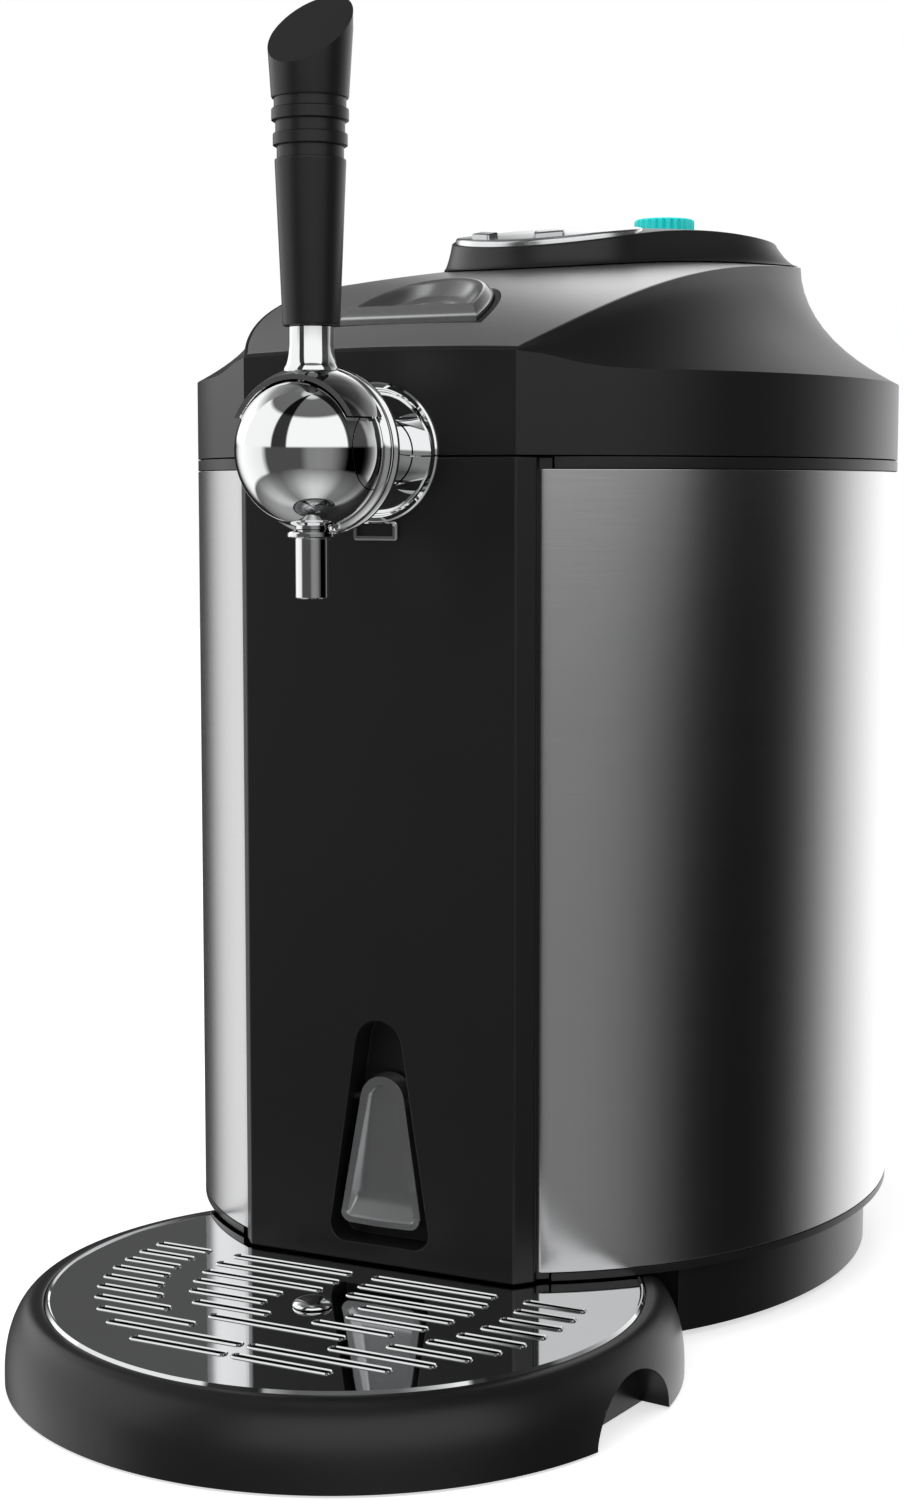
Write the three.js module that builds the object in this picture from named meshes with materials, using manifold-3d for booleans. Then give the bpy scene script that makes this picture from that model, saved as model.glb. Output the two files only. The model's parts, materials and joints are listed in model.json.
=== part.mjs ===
// Mini keg beer dispenser: a cooled cabinet for a 5 litre keg, with a hinged lid, a chrome tap and a drip tray.
// Millimetres, +Z up, front towards -Y, right as seen from the front towards +X.
// Pieces are laid out round the centre of the cabinet's oval plan, with the table at height 0.
import * as THREE from 'three';
import { mergeVertices } from 'three/addons/utils/BufferGeometryUtils.js';
import Module from 'manifold-3d';

const wasm = await Module();
wasm.setup();

// Clearances and cutter overrun
const seat = 0.3;
const overrun = 3;

// Keg well: it drives the plan of the cabinet
const kegRadius = 86;
const kegGap = 4;
const kegY = -35;
const wellWall = 1.5;
const wellFloor = 45;
const wellFlange = 7;
const sideFoam = 46;
const endFoam = 68.8;
const rearFoam = 5.5;
const gasketWidth = 4;
const gasketOffset = 4;
const wellRadius = kegRadius + kegGap;
const wellReach = wellRadius + wellWall;

// Cabinet plan: an oval with a flat front panel standing proud of it
const ovalHalfWidth = wellReach + sideFoam;
const ovalHalfDepth = wellReach + endFoam;
const panelHalfWidth = 54.6;
const panelWall = 2.5;
const stripRun = 5.4;
const stripFall = 6.5;
const stripProud = 1.767;
const channelFall = 2.2;
const steelLap = 6.8;
const tuckRun = 2.4;
const steelWall = 0.8;
const steelStop = 48.3;
const housingProud = 2.7;
const rearCorner = 12;
const housingWall = 2.5;
const stripX = panelHalfWidth + stripRun;
const steelEdge = panelHalfWidth + steelLap;
const panelReach = ovalSide(stripX, ovalHalfDepth, ovalHalfWidth) + stripProud + stripFall;
const rearReach = ovalHalfDepth + housingProud;
const rearSplit = ovalHalfDepth - steelStop;
const rearHalfWidth = ovalSide(rearSplit, ovalHalfWidth, ovalHalfDepth) - seat;

// Cabinet levels
const footHeight = 1.5;
const plinthTop = 28;
const floorGap = 0.6;
const flangeHeight = 2.9;
const upstandHeight = 5.5;
const upstandWall = 3;
const seamHeight = 323.4;
const topBand = 4.1;
const lidGap = 0.5;

// Plinth, feet and base plate
const plinthInset = 8.5;
const plinthWall = 3;
const trayRoom = 3.2;
const baseThickness = 2.5;
const footRadius = 9;
const footInset = 37;
const footNarrow = 18.4;
const footLead = 13;
const footTrail = 22;
const plinthHalfWidth = ovalHalfWidth - plinthInset;
const plinthHalfDepth = ovalHalfDepth - plinthInset;

// Foam between the well and the panels
const foamSetback = 15.3;
const foamFront = -panelReach + foamSetback;
const foamRear = kegY + wellReach + rearFoam;

// Cooling train behind the well
const coolHeight = 190;
const blockWidth = 60;
const blockDepth = 13;
const moduleSize = 40;
const moduleDepth = 4;
const sinkWidth = 92;
const sinkBase = 6;
const finDepth = 26;
const finWall = 1.4;
const finCount = 11;
const fanSize = 92;
const fanDepth = 25;
const fanBore = 42;
const hubRadius = 17;
const bladeCount = 7;
const bladeWall = 1.6;
const bladePitch = 0.6;
const bladeGap = 1.8;
const strutWidth = 5;

// Rear grille, inlet and circuit board
const grilleWidth = 104;
const grilleHeight = 112;
const grilleWall = 2.2;
const louvreCount = 9;
const louvreHeight = 5;
const inletHeight = 42;
const inletWidth = 27;
const inletTall = 20;
const inletDepth = 18;
const inletPin = 1.3;
const boardWidth = 80;
const boardTall = 58;
const boardHeight = 92;
const boardWall = 1.6;
const boardGap = 9;
const postRadius = 3;
const partSize = 9.7;
const canRadius = 5.8;

// Lever pocket in the front panel
const pocketLow = 36;
const pocketHigh = 119.6;
const pocketHalfWidth = 20.2;
const pocketFoot = 6;
const pocketHead = 9.5;
const pocketDepth = 12;
const leverLow = 42;
const leverHigh = 99;
const leverSideGap = 2.3;
const leverHead = 9.7;
const leverFoot = 5;
const leverRim = 2.6;
const leverDish = 3.2;
const leverDishEnd = 0.8;
const leverDishHigh = 87;
const leverPinDepth = 5.2;
const leverBackRoom = 2.1;
const leverInset = 0.8;
const leverPinRadius = 1.5;

// Tap
const tapRise = 1.5;
const tapReach = 45.9;
const ballRadius = 26.3;
const ballCut = 1.7;
const flangeRadius = 28.6;
const flangeDepth = 9;
const flangeGroove = 1.4;
const shankRadius = 12.6;
const shankCollar = 1.2;
const shankTail = 16.5;
const ductRadius = 4;
const nutRadius = 17;
const nutDepth = 6;
const bossRadius = 13.6;
const capRadius = 13;
const capDepth = 6;
const pinRadius = 2.5;
const yokeHubRadius = 6;
const hubHalfWidth = 4;
const bladeHalfWidth = 2.6;
const bladeFront = 2.2;
const bladeRear = 1.2;
const slotTurn = 0.51;
const valveRadius = 5.2;
const valveLength = 13;
const valveStart = 6.9;
const valveNeck = 1.6;
const valveGroove = 1;
const spoutRadius = 6;
const spoutBore = 4.2;
const spoutDrop = 49.9;
const spoutCollarRadius = 8.7;
const spoutCollarDrop = 29.1;
const spoutCollarHeight = 2.4;
const spoutRoot = 5.8;
const spoutSink = 2.8;
const yokeWall = 1.5;
const yokeLow = 11;
const yokeFront = 13;
const stemRadius = 7.6;
const stemFlare = 4.2;
const stemFlareHeight = 9;
const stemLength = 15.3;
const studRadius = 3;
const studLength = 14;
const tapHeight = seamHeight + tapRise;
const ballY = -panelReach - tapReach;
const shankRear = -panelReach + shankTail;
const spoutLow = tapHeight - spoutDrop;
const spoutCollarLow = tapHeight - spoutCollarDrop;
const spoutCollarHigh = spoutCollarLow + spoutCollarHeight;
const spoutTop = spoutCollarHigh + spoutSink;

// Tap handle: a long grip, four rings, a collar and a head cut at a slant
const handleGrip = 55.1;
const handleFootRadius = 9.7;
const handleNeckRadius = 12.1;
const handleGrooveDepth = 0.85;
const handleRingHeight = 4.1;
const handleRingStep = 0.45;
const handleCollar = 3.5;
const handleHead = 22.6;
const handleHeadRadius = 14.5;
const handleCutRise = 13.3;
const handleLow = tapHeight + ballRadius + stemLength;
const handleNeckHeight = handleLow + handleGrip;
const handleHeadLow = handleNeckHeight + 4 * handleRingHeight + handleCollar;
const handleCutHeight = handleHeadLow + handleHead;

// Bezel round the tap
const bezelRadius = 25;
const bezelRim = 2.5;
const bezelProud = 1.6;
const bezelDepth = 3.6;
const bezelWall = 1;
const tabWidth = 17.6;
const tabHeight = 6;
const tabRim = 1.5;

// Lid: a concave skirt below a silver facet
const lidWall = 2.5;
const skirtCornerRise = 36.2;
const skirtSideRise = 30.4;
const skirtFallReach = 14.5;
const lidSetback = 8.3;
const facetFrontGap = 1.2;
const facetSetback = 55;
const facetBulgeReach = 48;
const facetMid = 20;
const facetRearAxis = 130;
const facetRearGap = 4;
const facetLowRise = 36.6;
const facetRise = 49;
const facetRiseReach = 96;
const facetCrownFront = 1.1;
const facetCrown = 5.5;
const facetRoundShare = 2.5;
const hollowShare = 1.85;
const plateWall = 2;
const plateLedge = 5;
const linerWall = 2.5;
const linerRim = 14;
const foamDrop = 7.8;
const lidFoamInset = 14;
const noseRoom = 24;
const skirtCorner = seamHeight + skirtCornerRise;
const skirtSide = seamHeight + skirtSideRise;
const lidRear = ovalHalfDepth - lidSetback;
const facetFrontHalfWidth = panelHalfWidth - seat;
const facetMidHalfWidth = ovalHalfWidth - facetSetback;
const facetRear = lidRear - facetRearGap;
const facetLow = seamHeight + facetLowRise;
const foamLidHigh = skirtSide - foamDrop;

// Lid hinge
const hingeInset = 6;
const hingeRise = 2.6;
const hingeY = rearReach - hingeInset;
const hingeHeight = seamHeight + hingeRise;
const knuckleRadius = 4.4;
const knuckleLength = 10;
const knuckleInner = 12;
const hingePinRadius = 2;

// Lid latch
const latchSetback = 23.7;
const latchFront = -panelReach + latchSetback;
const latchHalfWidth = 28;
const latchLength = 43.5;
const latchBorder = 3;
const latchGap = 0.4;
const latchDepth = 9.5;
const latchFloor = 2.5;
const latchBody = 5.5;
const latchLip = 2.4;
const latchDish = 3.2;
const latchClipShare = 0.985;
const latchLipShare = 0.82;
const latchLipSpreadShare = 0.16;
const latchDishShare = 0.62;
const hookSide = 44;
const hookWidth = 7;
const hookWall = 3;
const hookSetback = 25.5;
const hookRoom = 3;
const hookY = -panelReach + hookSetback;
const hookNose = 2;
const hookDrop = 7.4;
const hookLow = seamHeight - hookDrop;

// Control pod on the lid: its walls lean in more at the rear than in front
const podRearY = 71;
const podRearRadius = 76;
const podFrontY = 6;
const podFrontRadius = 47;
const podFrontLean = 3.2;
const podRearLean = 9;
const podEdge = 0.8;
const podRise = 97;
const podPeakY = 50;
const podFrontFall = 13.2;
const podFrontSpan = 87;
const podRearFall = 4;
const podRearSpan = 93;
const podSideFall = 4.7;
const podSideSpan = 72;
const podWall = 4.5;
const podFoot = 8;
const podLeanShare = 0.6;
const podPeak = seamHeight + podRise;
const controlInset = 1.5;
const controlTurn = 0.34;
const controlDepth = 36;
const controlWall = 1.6;
const controlProud = 2.3;
const buttonArc = 36.3;
const leftButtonTurn = -0.54;
const rightButtonTurn = 0.31;
const buttonWidth = 12;
const buttonDepth = 5.5;
const buttonProud = 1.8;
const buttonBody = 3.4;
const buttonTravel = 1.2;
const buttonRoom = 2;
const controlBoardRadius = 36.8;
const controlPostReach = 30;
const switchRadius = 2.4;
const switchInset = 2.5;
const knobY = 122;
const knobRadius = 13.5;
const knobRise = 14.6;
const knobSink = 2.5;
const knobFlutes = 24;
const fluteDepth = 0.5;
const knobRoom = 1.2;
const spindleRadius = 3;
const spindleLength = 11;
const socketRadius = 9;
const socketHeight = 12;
const knobHigh = podPeak + knobRise;
const knobLow = podPeak - knobSink;

// Drip tray and drip plate
const trayLead = 24.7;
const trayY = -panelReach - trayLead;
const trayRadius = 121;
const trayRimRadius = 109.4;
const trayLow = 0.4;
const trayRim = 27.8;
const trayWall = 2.5;
const traySkirt = 4;
const plateRadius = 106.9;
const plateTop = 28;
const plateThickness = 1.8;
const trayLedge = 3.5;
const trayFloor = 5.5;
const notchHalfWidth = 24;
const notchHeight = 20;
const notchTurnShare = 0.04;
const notchDepth = 13;
const slotPitch = 10.2;
const slotFirst = 12;
const slotRows = 10;
const slotWidth = 3;
const slotInner = 56.5;
const slotBand = 8;
const slotOuter = 88.5;
const slotLand = 4.5;
const slotLongest = 60;
const slotShortest = 6;
const domeOffset = -24.5;
const domeRoom = 17;
const domeRadius = 7;
const domeHeight = 5;
const plateBodyGap = 1.5;

// Facet counts
const nutSides = 6;
const roundSteps = 16;
const tapSteps = 20;
const wellSteps = 24;
const pinSteps = 8;
const largeSteps = 36;
const frontSteps = 4;
const sideSteps = 14;
const rearSteps = 3;
const sheetSteps = 8;
const podSteps = 24;
const arcSteps = 4;

// Feet stand under the plinth, clear of the tray and of the rear housing
const footSide = plinthHalfWidth - footInset;
const footRearSide = footSide - footNarrow;
const footFront = trayY + trayRadius + trayRoom + footLead;
const footRear = rearSplit - footTrail;

// Levels that follow from the sizes above
const floorLow = plinthTop + floorGap;
const floorTop = floorLow + flangeHeight;
const bandLow = seamHeight - topBand;
const lidLow = seamHeight + lidGap;
const steelLow = floorTop + seat;
const steelHigh = bandLow - seat;
const roofHigh = bandLow - seat;
const panelBack = -panelReach + panelWall;
const stripEnd = new THREE.Vector2(stripX, -panelReach + stripFall);
const plateLow = plateTop - plateThickness;
const originShift = (trayRadius - trayY - rearReach) / 2;

// Vertices and triangles of a closed mesh become a solid
function toSolid(geometry) {
  const bare = geometry.clone();
  bare.deleteAttribute('normal');
  bare.deleteAttribute('uv');
  const welded = mergeVertices(bare);
  const vertProperties = new Float32Array(welded.attributes.position.array);
  const triVerts = new Uint32Array(welded.index.array);
  return new wasm.Manifold(new wasm.Mesh({ numProp: 3, vertProperties, triVerts }));
}

function toGeometry(solid) {
  const { vertProperties, triVerts } = solid.getMesh();
  const geometry = new THREE.BufferGeometry();
  geometry.setAttribute('position', new THREE.BufferAttribute(new Float32Array(vertProperties), 3));
  geometry.setIndex(new THREE.BufferAttribute(new Uint32Array(triVerts), 1));
  geometry.computeVertexNormals();
  return geometry;
}

// A plan shape raised from one level to another
function prism(shape, low, high) {
  const settings = { depth: high - low, bevelEnabled: false, curveSegments: arcSteps };
  return toSolid(new THREE.ExtrudeGeometry(shape, settings).translate(0, 0, low));
}

// A front-view shape (x, z) carried from its front y to its back y
function frontPrism(shape, front, back) {
  const settings = { depth: back - front, bevelEnabled: false, curveSegments: arcSteps };
  return toSolid(new THREE.ExtrudeGeometry(shape, settings).rotateX(Math.PI / 2).translate(0, back, 0));
}

// A side-view shape (y, z) carried from its left x to its right x
function sidePrism(shape, left, right) {
  const settings = { depth: right - left, bevelEnabled: false, curveSegments: arcSteps };
  const turn = new THREE.Matrix4().makeBasis(
    new THREE.Vector3(0, 1, 0), new THREE.Vector3(0, 0, 1), new THREE.Vector3(1, 0, 0));
  return toSolid(new THREE.ExtrudeGeometry(shape, settings).applyMatrix4(turn).translate(left, 0, 0));
}

// A closed profile of (radius, distance along the axis) points, turned about the Y axis
function lathe(profile, steps) {
  return new THREE.LatheGeometry(profile.map(([r, h]) => new THREE.Vector2(r, h)), steps);
}

function turnedY(profile, steps, x, z) {
  return toSolid(lathe(profile, steps).translate(x, 0, z));
}

function turnedZ(profile, steps, x, y) {
  return toSolid(lathe(profile, steps).rotateX(Math.PI / 2).translate(x, y, 0));
}

function turnedX(profile, steps, y, z) {
  return toSolid(lathe(profile, steps).rotateZ(-Math.PI / 2).translate(0, y, z));
}

function rodProfile(radius, from, to) {
  return [[0, from], [radius, from], [radius, to], [0, to]];
}

function pipeProfile(inner, outer, from, to) {
  return [[inner, from], [outer, from], [outer, to], [inner, to], [inner, from]];
}

function box(x0, x1, y0, y1, z0, z1) {
  const geometry = new THREE.BoxGeometry(x1 - x0, y1 - y0, z1 - z0);
  return toSolid(geometry.translate((x0 + x1) / 2, (y0 + y1) / 2, (z0 + z1) / 2));
}

function addAll(solids) {
  return solids.reduce((sum, solid) => sum.add(solid));
}

function mirrored(points) {
  return points.map((p) => new THREE.Vector2(-p.x, p.y)).reverse();
}

// Half width of an oval at a given y, or with the halves swapped its half depth at a given x
function ovalSide(y, halfWidth, halfDepth) {
  return halfWidth * Math.sqrt(Math.max(0, 1 - (y / halfDepth) ** 2));
}

// Right-hand edge of an oval from one y to another, close together near its ends
function ovalEdge(halfWidth, halfDepth, front, rear, steps) {
  const start = Math.asin(front / halfDepth);
  const stop = Math.asin(Math.min(1, rear / halfDepth));
  const points = [];
  for (let i = 0; i <= steps; i++) {
    const turn = start + ((stop - start) * i) / steps;
    points.push(new THREE.Vector2(halfWidth * Math.cos(turn), halfDepth * Math.sin(turn)));
  }
  return points;
}

function ovalPlan(inset, front, rear) {
  const right = ovalEdge(ovalHalfWidth - inset, ovalHalfDepth - inset, front, rear, sideSteps);
  return [...right, ...mirrored(right)];
}

// Moves each corner of a loop inwards so that every edge moves by the same distance; loops run anticlockwise
function insetLoop(loop, distance) {
  const count = loop.length;
  return loop.map((point, i) => {
    const before = point.clone().sub(loop[(i + count - 1) % count]).normalize();
    const after = loop[(i + 1) % count].clone().sub(point).normalize();
    const inward = new THREE.Vector2(-before.y - after.y, before.x + after.x).normalize();
    const spread = inward.dot(new THREE.Vector2(-after.y, after.x));
    return point.clone().addScaledVector(inward, distance / spread);
  });
}

// An open line of points thickened to its left
function stripLoop(points, wall) {
  const last = points.length - 1;
  const inner = points.map((point, i) => {
    const before = point.clone().sub(points[Math.max(0, i - 1)]).normalize();
    const after = points[Math.min(last, i + 1)].clone().sub(point).normalize();
    const along = before.add(after).normalize();
    const left = new THREE.Vector2(-along.y, along.x);
    const edge = i < last ? points[i + 1].clone().sub(point) : point.clone().sub(points[i - 1]);
    const spread = left.dot(new THREE.Vector2(-edge.y, edge.x).normalize());
    return point.clone().addScaledVector(left, wall / spread);
  });
  return [...points, ...inner.reverse()];
}

// Outline round two or more circles, as tangent arcs
function hullLoop(circles, steps) {
  const points = [];
  for (let i = 0; i < steps; i++) {
    const turn = (i / steps) * 2 * Math.PI;
    const way = new THREE.Vector2(Math.cos(turn), Math.sin(turn));
    const reach = (circle) => way.dot(circle.centre) + circle.radius;
    const outer = circles.reduce((best, circle) => (reach(circle) > reach(best) ? circle : best));
    points.push(outer.centre.clone().addScaledVector(way, outer.radius));
  }
  return points;
}

// The same loop with evenly spaced points
function evenLoop(loop, count) {
  const closed = [...loop, loop[0]];
  const lengths = closed.slice(1).map((point, i) => point.distanceTo(closed[i]));
  const total = lengths.reduce((sum, length) => sum + length, 0);
  const points = [];
  let edge = 0;
  let passed = 0;
  for (let i = 0; i < count; i++) {
    const target = (total * i) / count;
    while (passed + lengths[edge] < target) {
      passed += lengths[edge];
      edge += 1;
    }
    points.push(closed[edge].clone().lerp(closed[edge + 1], (target - passed) / lengths[edge]));
  }
  return points;
}

function meshSolid(positions, indices) {
  const geometry = new THREE.BufferGeometry();
  geometry.setAttribute('position', new THREE.Float32BufferAttribute(positions, 3));
  geometry.setIndex(indices);
  return toSolid(geometry);
}

// A closed skin through rings of points that run anticlockwise seen from above, listed from the bottom up
// on the outside. A tube joins its last ring to its first; otherwise both ends are closed by fans.
function ringSolid(rings, tube) {
  const count = rings[0].length;
  const positions = rings.flat().flatMap((p) => [p.x, p.y, p.z]);
  const indices = [];
  const bands = tube ? rings.length : rings.length - 1;
  for (let j = 0; j < bands; j++) {
    const low = j * count;
    const high = ((j + 1) % rings.length) * count;
    for (let i = 0; i < count; i++) {
      const next = (i + 1) % count;
      indices.push(low + i, low + next, high + next, low + i, high + next, high + i);
    }
  }
  if (!tube) {
    closeRing(rings[0], 0, positions, indices, true);
    closeRing(rings[rings.length - 1], (rings.length - 1) * count, positions, indices, false);
  }
  return meshSolid(positions, indices);
}

function closeRing(ring, start, positions, indices, facesDown) {
  const centre = ring.reduce((sum, p) => sum.add(p), new THREE.Vector3()).divideScalar(ring.length);
  const hub = positions.length / 3;
  positions.push(centre.x, centre.y, centre.z);
  for (let i = 0; i < ring.length; i++) {
    const next = (i + 1) % ring.length;
    if (facesDown) indices.push(hub, start + next, start + i);
    else indices.push(hub, start + i, start + next);
  }
}

// A sheet between two surfaces over a grid of places; across runs left to right and along front to rear
function sheetSolid(across, along, place, top, bottom) {
  const positions = [];
  const indices = [];
  const columns = across + 1;
  const layer = columns * (along + 1);
  for (const height of [top, bottom]) {
    for (let j = 0; j <= along; j++) {
      for (let i = 0; i <= across; i++) {
        const { x, y } = place(i / across, j / along);
        positions.push(x, y, height(x, y));
      }
    }
  }
  const at = (i, j) => j * columns + i;
  const quad = (a, b, c, d) => indices.push(a, b, c, a, c, d);
  for (let j = 0; j < along; j++) {
    for (let i = 0; i < across; i++) {
      quad(at(i, j), at(i + 1, j), at(i + 1, j + 1), at(i, j + 1));
      quad(layer + at(i, j), layer + at(i, j + 1), layer + at(i + 1, j + 1), layer + at(i + 1, j));
    }
    quad(at(across, j), layer + at(across, j), layer + at(across, j + 1), at(across, j + 1));
    quad(at(0, j), at(0, j + 1), layer + at(0, j + 1), layer + at(0, j));
  }
  for (let i = 0; i < across; i++) {
    quad(at(i, 0), layer + at(i, 0), layer + at(i + 1, 0), at(i + 1, 0));
    quad(at(i, along), at(i + 1, along), layer + at(i + 1, along), layer + at(i, along));
  }
  return meshSolid(positions, indices);
}

// Front panel line, from the left tuck behind the steel to the right one
function panelLine() {
  const channel = new THREE.Vector2(stripEnd.x - panelWall / 3, stripEnd.y + channelFall);
  const tuckX = steelEdge + tuckRun;
  const inside = -ovalSide(tuckX, ovalHalfDepth, ovalHalfWidth);
  const tuck = new THREE.Vector2(tuckX, inside + steelWall + 2 * seat);
  const right = [new THREE.Vector2(panelHalfWidth, -panelReach), stripEnd, channel, tuck];
  return [...mirrored(right), ...right];
}

// Room that the frames and the foam leave for the front panel
function panelRoom(low, high) {
  const { x, y } = panelLine().at(-1);
  const side = x + 2 * seat;
  const back = y + panelWall + 3 * seat;
  return box(-side, side, -ovalHalfDepth - overrun, back, low, high);
}

function pocketOutline(gap) {
  const foot = pocketFoot - gap;
  const footX = pocketHalfWidth - pocketFoot;
  const circles = [
    { centre: new THREE.Vector2(-footX, pocketLow + pocketFoot), radius: foot },
    { centre: new THREE.Vector2(footX, pocketLow + pocketFoot), radius: foot },
    { centre: new THREE.Vector2(0, pocketHigh - pocketHead), radius: pocketHead - gap }];
  return new THREE.Shape(hullLoop(circles, roundSteps));
}

function leverPinPlace() {
  return { y: -panelReach + pocketDepth - leverPinDepth, z: leverHigh - leverHead };
}

// Half width of the lever pocket at a height
function pocketSide(z) {
  const share = (z - pocketLow - pocketFoot) / (pocketHigh - pocketHead - pocketLow - pocketFoot);
  return THREE.MathUtils.lerp(pocketHalfWidth, pocketHead, share);
}

function frontPanel() {
  const skin = prism(new THREE.Shape(stripLoop(panelLine(), panelWall)), floorLow, seamHeight);
  const pocketBack = -panelReach + pocketDepth;
  const boss = frontPrism(pocketOutline(-panelWall), panelBack - seat, pocketBack + panelWall);
  const hollow = frontPrism(pocketOutline(0), -panelReach - overrun, pocketBack);
  const pin = leverPinPlace();
  const pinReach = pocketSide(pin.z) + panelWall / 2 + seat;
  const pinHole = turnedX(rodProfile(leverPinRadius + seat, -pinReach, pinReach), pinSteps, pin.y, pin.z);
  const dish = turnedY(rodProfile(bezelRadius - bezelRim + seat, -panelReach - overrun, panelBack + overrun),
    tapSteps, 0, tapHeight);
  const tabLow = tapHeight - bezelRadius - tabHeight;
  const tabHole = box(-tabWidth / 2 + tabRim, tabWidth / 2 - tabRim, -panelReach - overrun, panelBack + overrun,
    tabLow + tabRim, tapHeight);
  return skin.add(boss).subtract(hollow).subtract(pinHole).subtract(dish).subtract(tabHole);
}

function sidePanel(side) {
  const front = -ovalSide(steelEdge, ovalHalfDepth, ovalHalfWidth);
  const outer = ovalEdge(ovalHalfWidth, ovalHalfDepth, front, rearSplit, sideSteps);
  const inner = ovalEdge(ovalHalfWidth - steelWall, ovalHalfDepth - steelWall, front, rearSplit, sideSteps);
  const loop = [...outer, ...inner.reverse()];
  const placed = side > 0 ? loop : mirrored(loop);
  return prism(new THREE.Shape(placed), steelLow, steelHigh);
}

function topFrame() {
  const plan = new THREE.Shape(ovalPlan(0, -panelReach + seat, lidRear));
  const inner = new THREE.Shape(ovalPlan(steelWall + 2 * seat, -panelReach + seat, rearSplit - seat));
  const lower = prism(inner, bandLow - upstandHeight, bandLow + seat);
  const hollow = new THREE.Shape(ovalPlan(steelWall + 2 * seat + upstandWall, -panelReach + seat,
    rearSplit - seat - upstandWall));
  const rim = lower.subtract(prism(hollow, bandLow - upstandHeight - overrun, bandLow));
  const mouth = turnedZ(rodProfile(wellRadius, bandLow - overrun, seamHeight + overrun), wellSteps, 0, kegY);
  const grooveInner = wellRadius + gasketOffset - seat;
  const grooveOuter = wellRadius + gasketOffset + gasketWidth + seat;
  const groove = turnedZ(pipeProfile(grooveInner, grooveOuter, seamHeight - topBand / 2, seamHeight + overrun),
    wellSteps, 0, kegY);
  const nose = turnedY(rodProfile(nutRadius + seat, -ovalHalfDepth, foamFront + overrun), roundSteps, 0, tapHeight);
  const hookFront = hookY - hookWall / 2 - 2 * hookNose;
  const hookBack = hookY + hookWall / 2 + 2 * hookNose;
  const hookReach = hookWidth / 2 + hookRoom;
  const hooks = addAll([-1, 1].map((side) => box(side * hookSide - hookReach, side * hookSide + hookReach,
    hookFront, hookBack, bandLow - overrun, seamHeight + overrun)));
  return prism(plan, bandLow, seamHeight).add(rim).subtract(mouth).subtract(groove).subtract(nose)
    .subtract(hooks).subtract(panelRoom(bandLow - upstandHeight - overrun, seamHeight + overrun));
}

function bottomFrame() {
  const plan = new THREE.Shape(ovalPlan(0, -panelReach + seat, rearSplit - seat));
  const inner = new THREE.Shape(ovalPlan(steelWall + 2 * seat, -panelReach + seat, rearSplit - seat));
  const hollow = new THREE.Shape(ovalPlan(steelWall + 2 * seat + upstandWall, -panelReach + seat,
    rearSplit - seat - upstandWall));
  const rim = prism(inner, floorTop - seat, floorTop + upstandHeight)
    .subtract(prism(hollow, floorTop, floorTop + upstandHeight + overrun));
  const room = panelRoom(floorLow - overrun, floorTop + upstandHeight + overrun);
  return prism(plan, floorLow, floorTop).add(rim).subtract(room);
}

// Oval foot of the cabinet, hollowed for the drip tray in front and ending at the rear housing
function plinthPlan(inset, low, high) {
  const front = trayY + trayRadius + trayRoom - plinthHalfWidth / 2;
  const right = ovalEdge(plinthHalfWidth - inset, plinthHalfDepth - inset, front, rearSplit - seat - inset, sideSteps);
  const plan = new THREE.Shape([...right, ...mirrored(right)]);
  const trayHole = rodProfile(trayRadius + trayRoom + inset, low - overrun, high + overrun);
  return prism(plan, low, high).subtract(turnedZ(trayHole, largeSteps, 0, trayY));
}

function plinth() {
  const low = footHeight + seat;
  return plinthPlan(0, low, plinthTop).subtract(plinthPlan(plinthWall, low - overrun, plinthTop - plinthWall));
}

function basePlate() {
  const low = footHeight + seat;
  return plinthPlan(plinthWall + seat, low, low + baseThickness);
}

function foot(x, y) {
  return turnedZ(rodProfile(footRadius, 0, footHeight), roundSteps, x, y);
}

// Rear housing: a deep box with rounded rear corners, closed by a roof and a floor
function housingLoop(inset) {
  const x = rearHalfWidth - inset;
  const y = rearReach - inset;
  const corner = rearCorner - inset;
  const points = [new THREE.Vector2(x, rearSplit)];
  for (let i = 0; i <= arcSteps; i++) {
    const turn = (i / arcSteps) * Math.PI / 2;
    points.push(new THREE.Vector2(x - corner + corner * Math.cos(turn), y - corner + corner * Math.sin(turn)));
  }
  return [...points, ...mirrored(points)];
}

function rearHousing() {
  const low = footHeight + seat;
  const outer = prism(new THREE.Shape(housingLoop(0)), low, roofHigh);
  const inner = prism(new THREE.Shape(housingLoop(housingWall)), low + housingWall, roofHigh - housingWall);
  const front = box(-rearHalfWidth + housingWall, rearHalfWidth - housingWall, rearSplit - overrun,
    rearSplit + overrun, low + plinthWall + housingWall, roofHigh - housingWall);
  const window = frontPrism(grilleOutline(seat), rearReach - housingWall - overrun, rearReach + overrun);
  const inletHole = box(-inletWidth / 2 - seat, inletWidth / 2 + seat, rearReach - housingWall - overrun,
    rearReach + overrun, inletHeight - inletTall / 2 - seat, inletHeight + inletTall / 2 + seat);
  const boardBack = rearReach - housingWall - boardGap + boardWall;
  const posts = [-1, 1].flatMap((side) => [-1, 1].map((rise) => turnedY(
    rodProfile(postRadius, boardBack + seat, rearReach - housingWall + seat), arcSteps * 2,
    side * (boardWidth / 2 - 2 * postRadius), boardHeight + rise * (boardTall / 2 - 2 * postRadius))));
  const knuckles = [-1, 1].flatMap((side) => [0, 2].map((place) => hingeKnuckle(side, place, roofHigh - seat)));
  return addAll([outer.subtract(inner).subtract(front).subtract(window).subtract(inletHole), ...posts, ...knuckles])
    .subtract(hingeBore());
}

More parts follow.
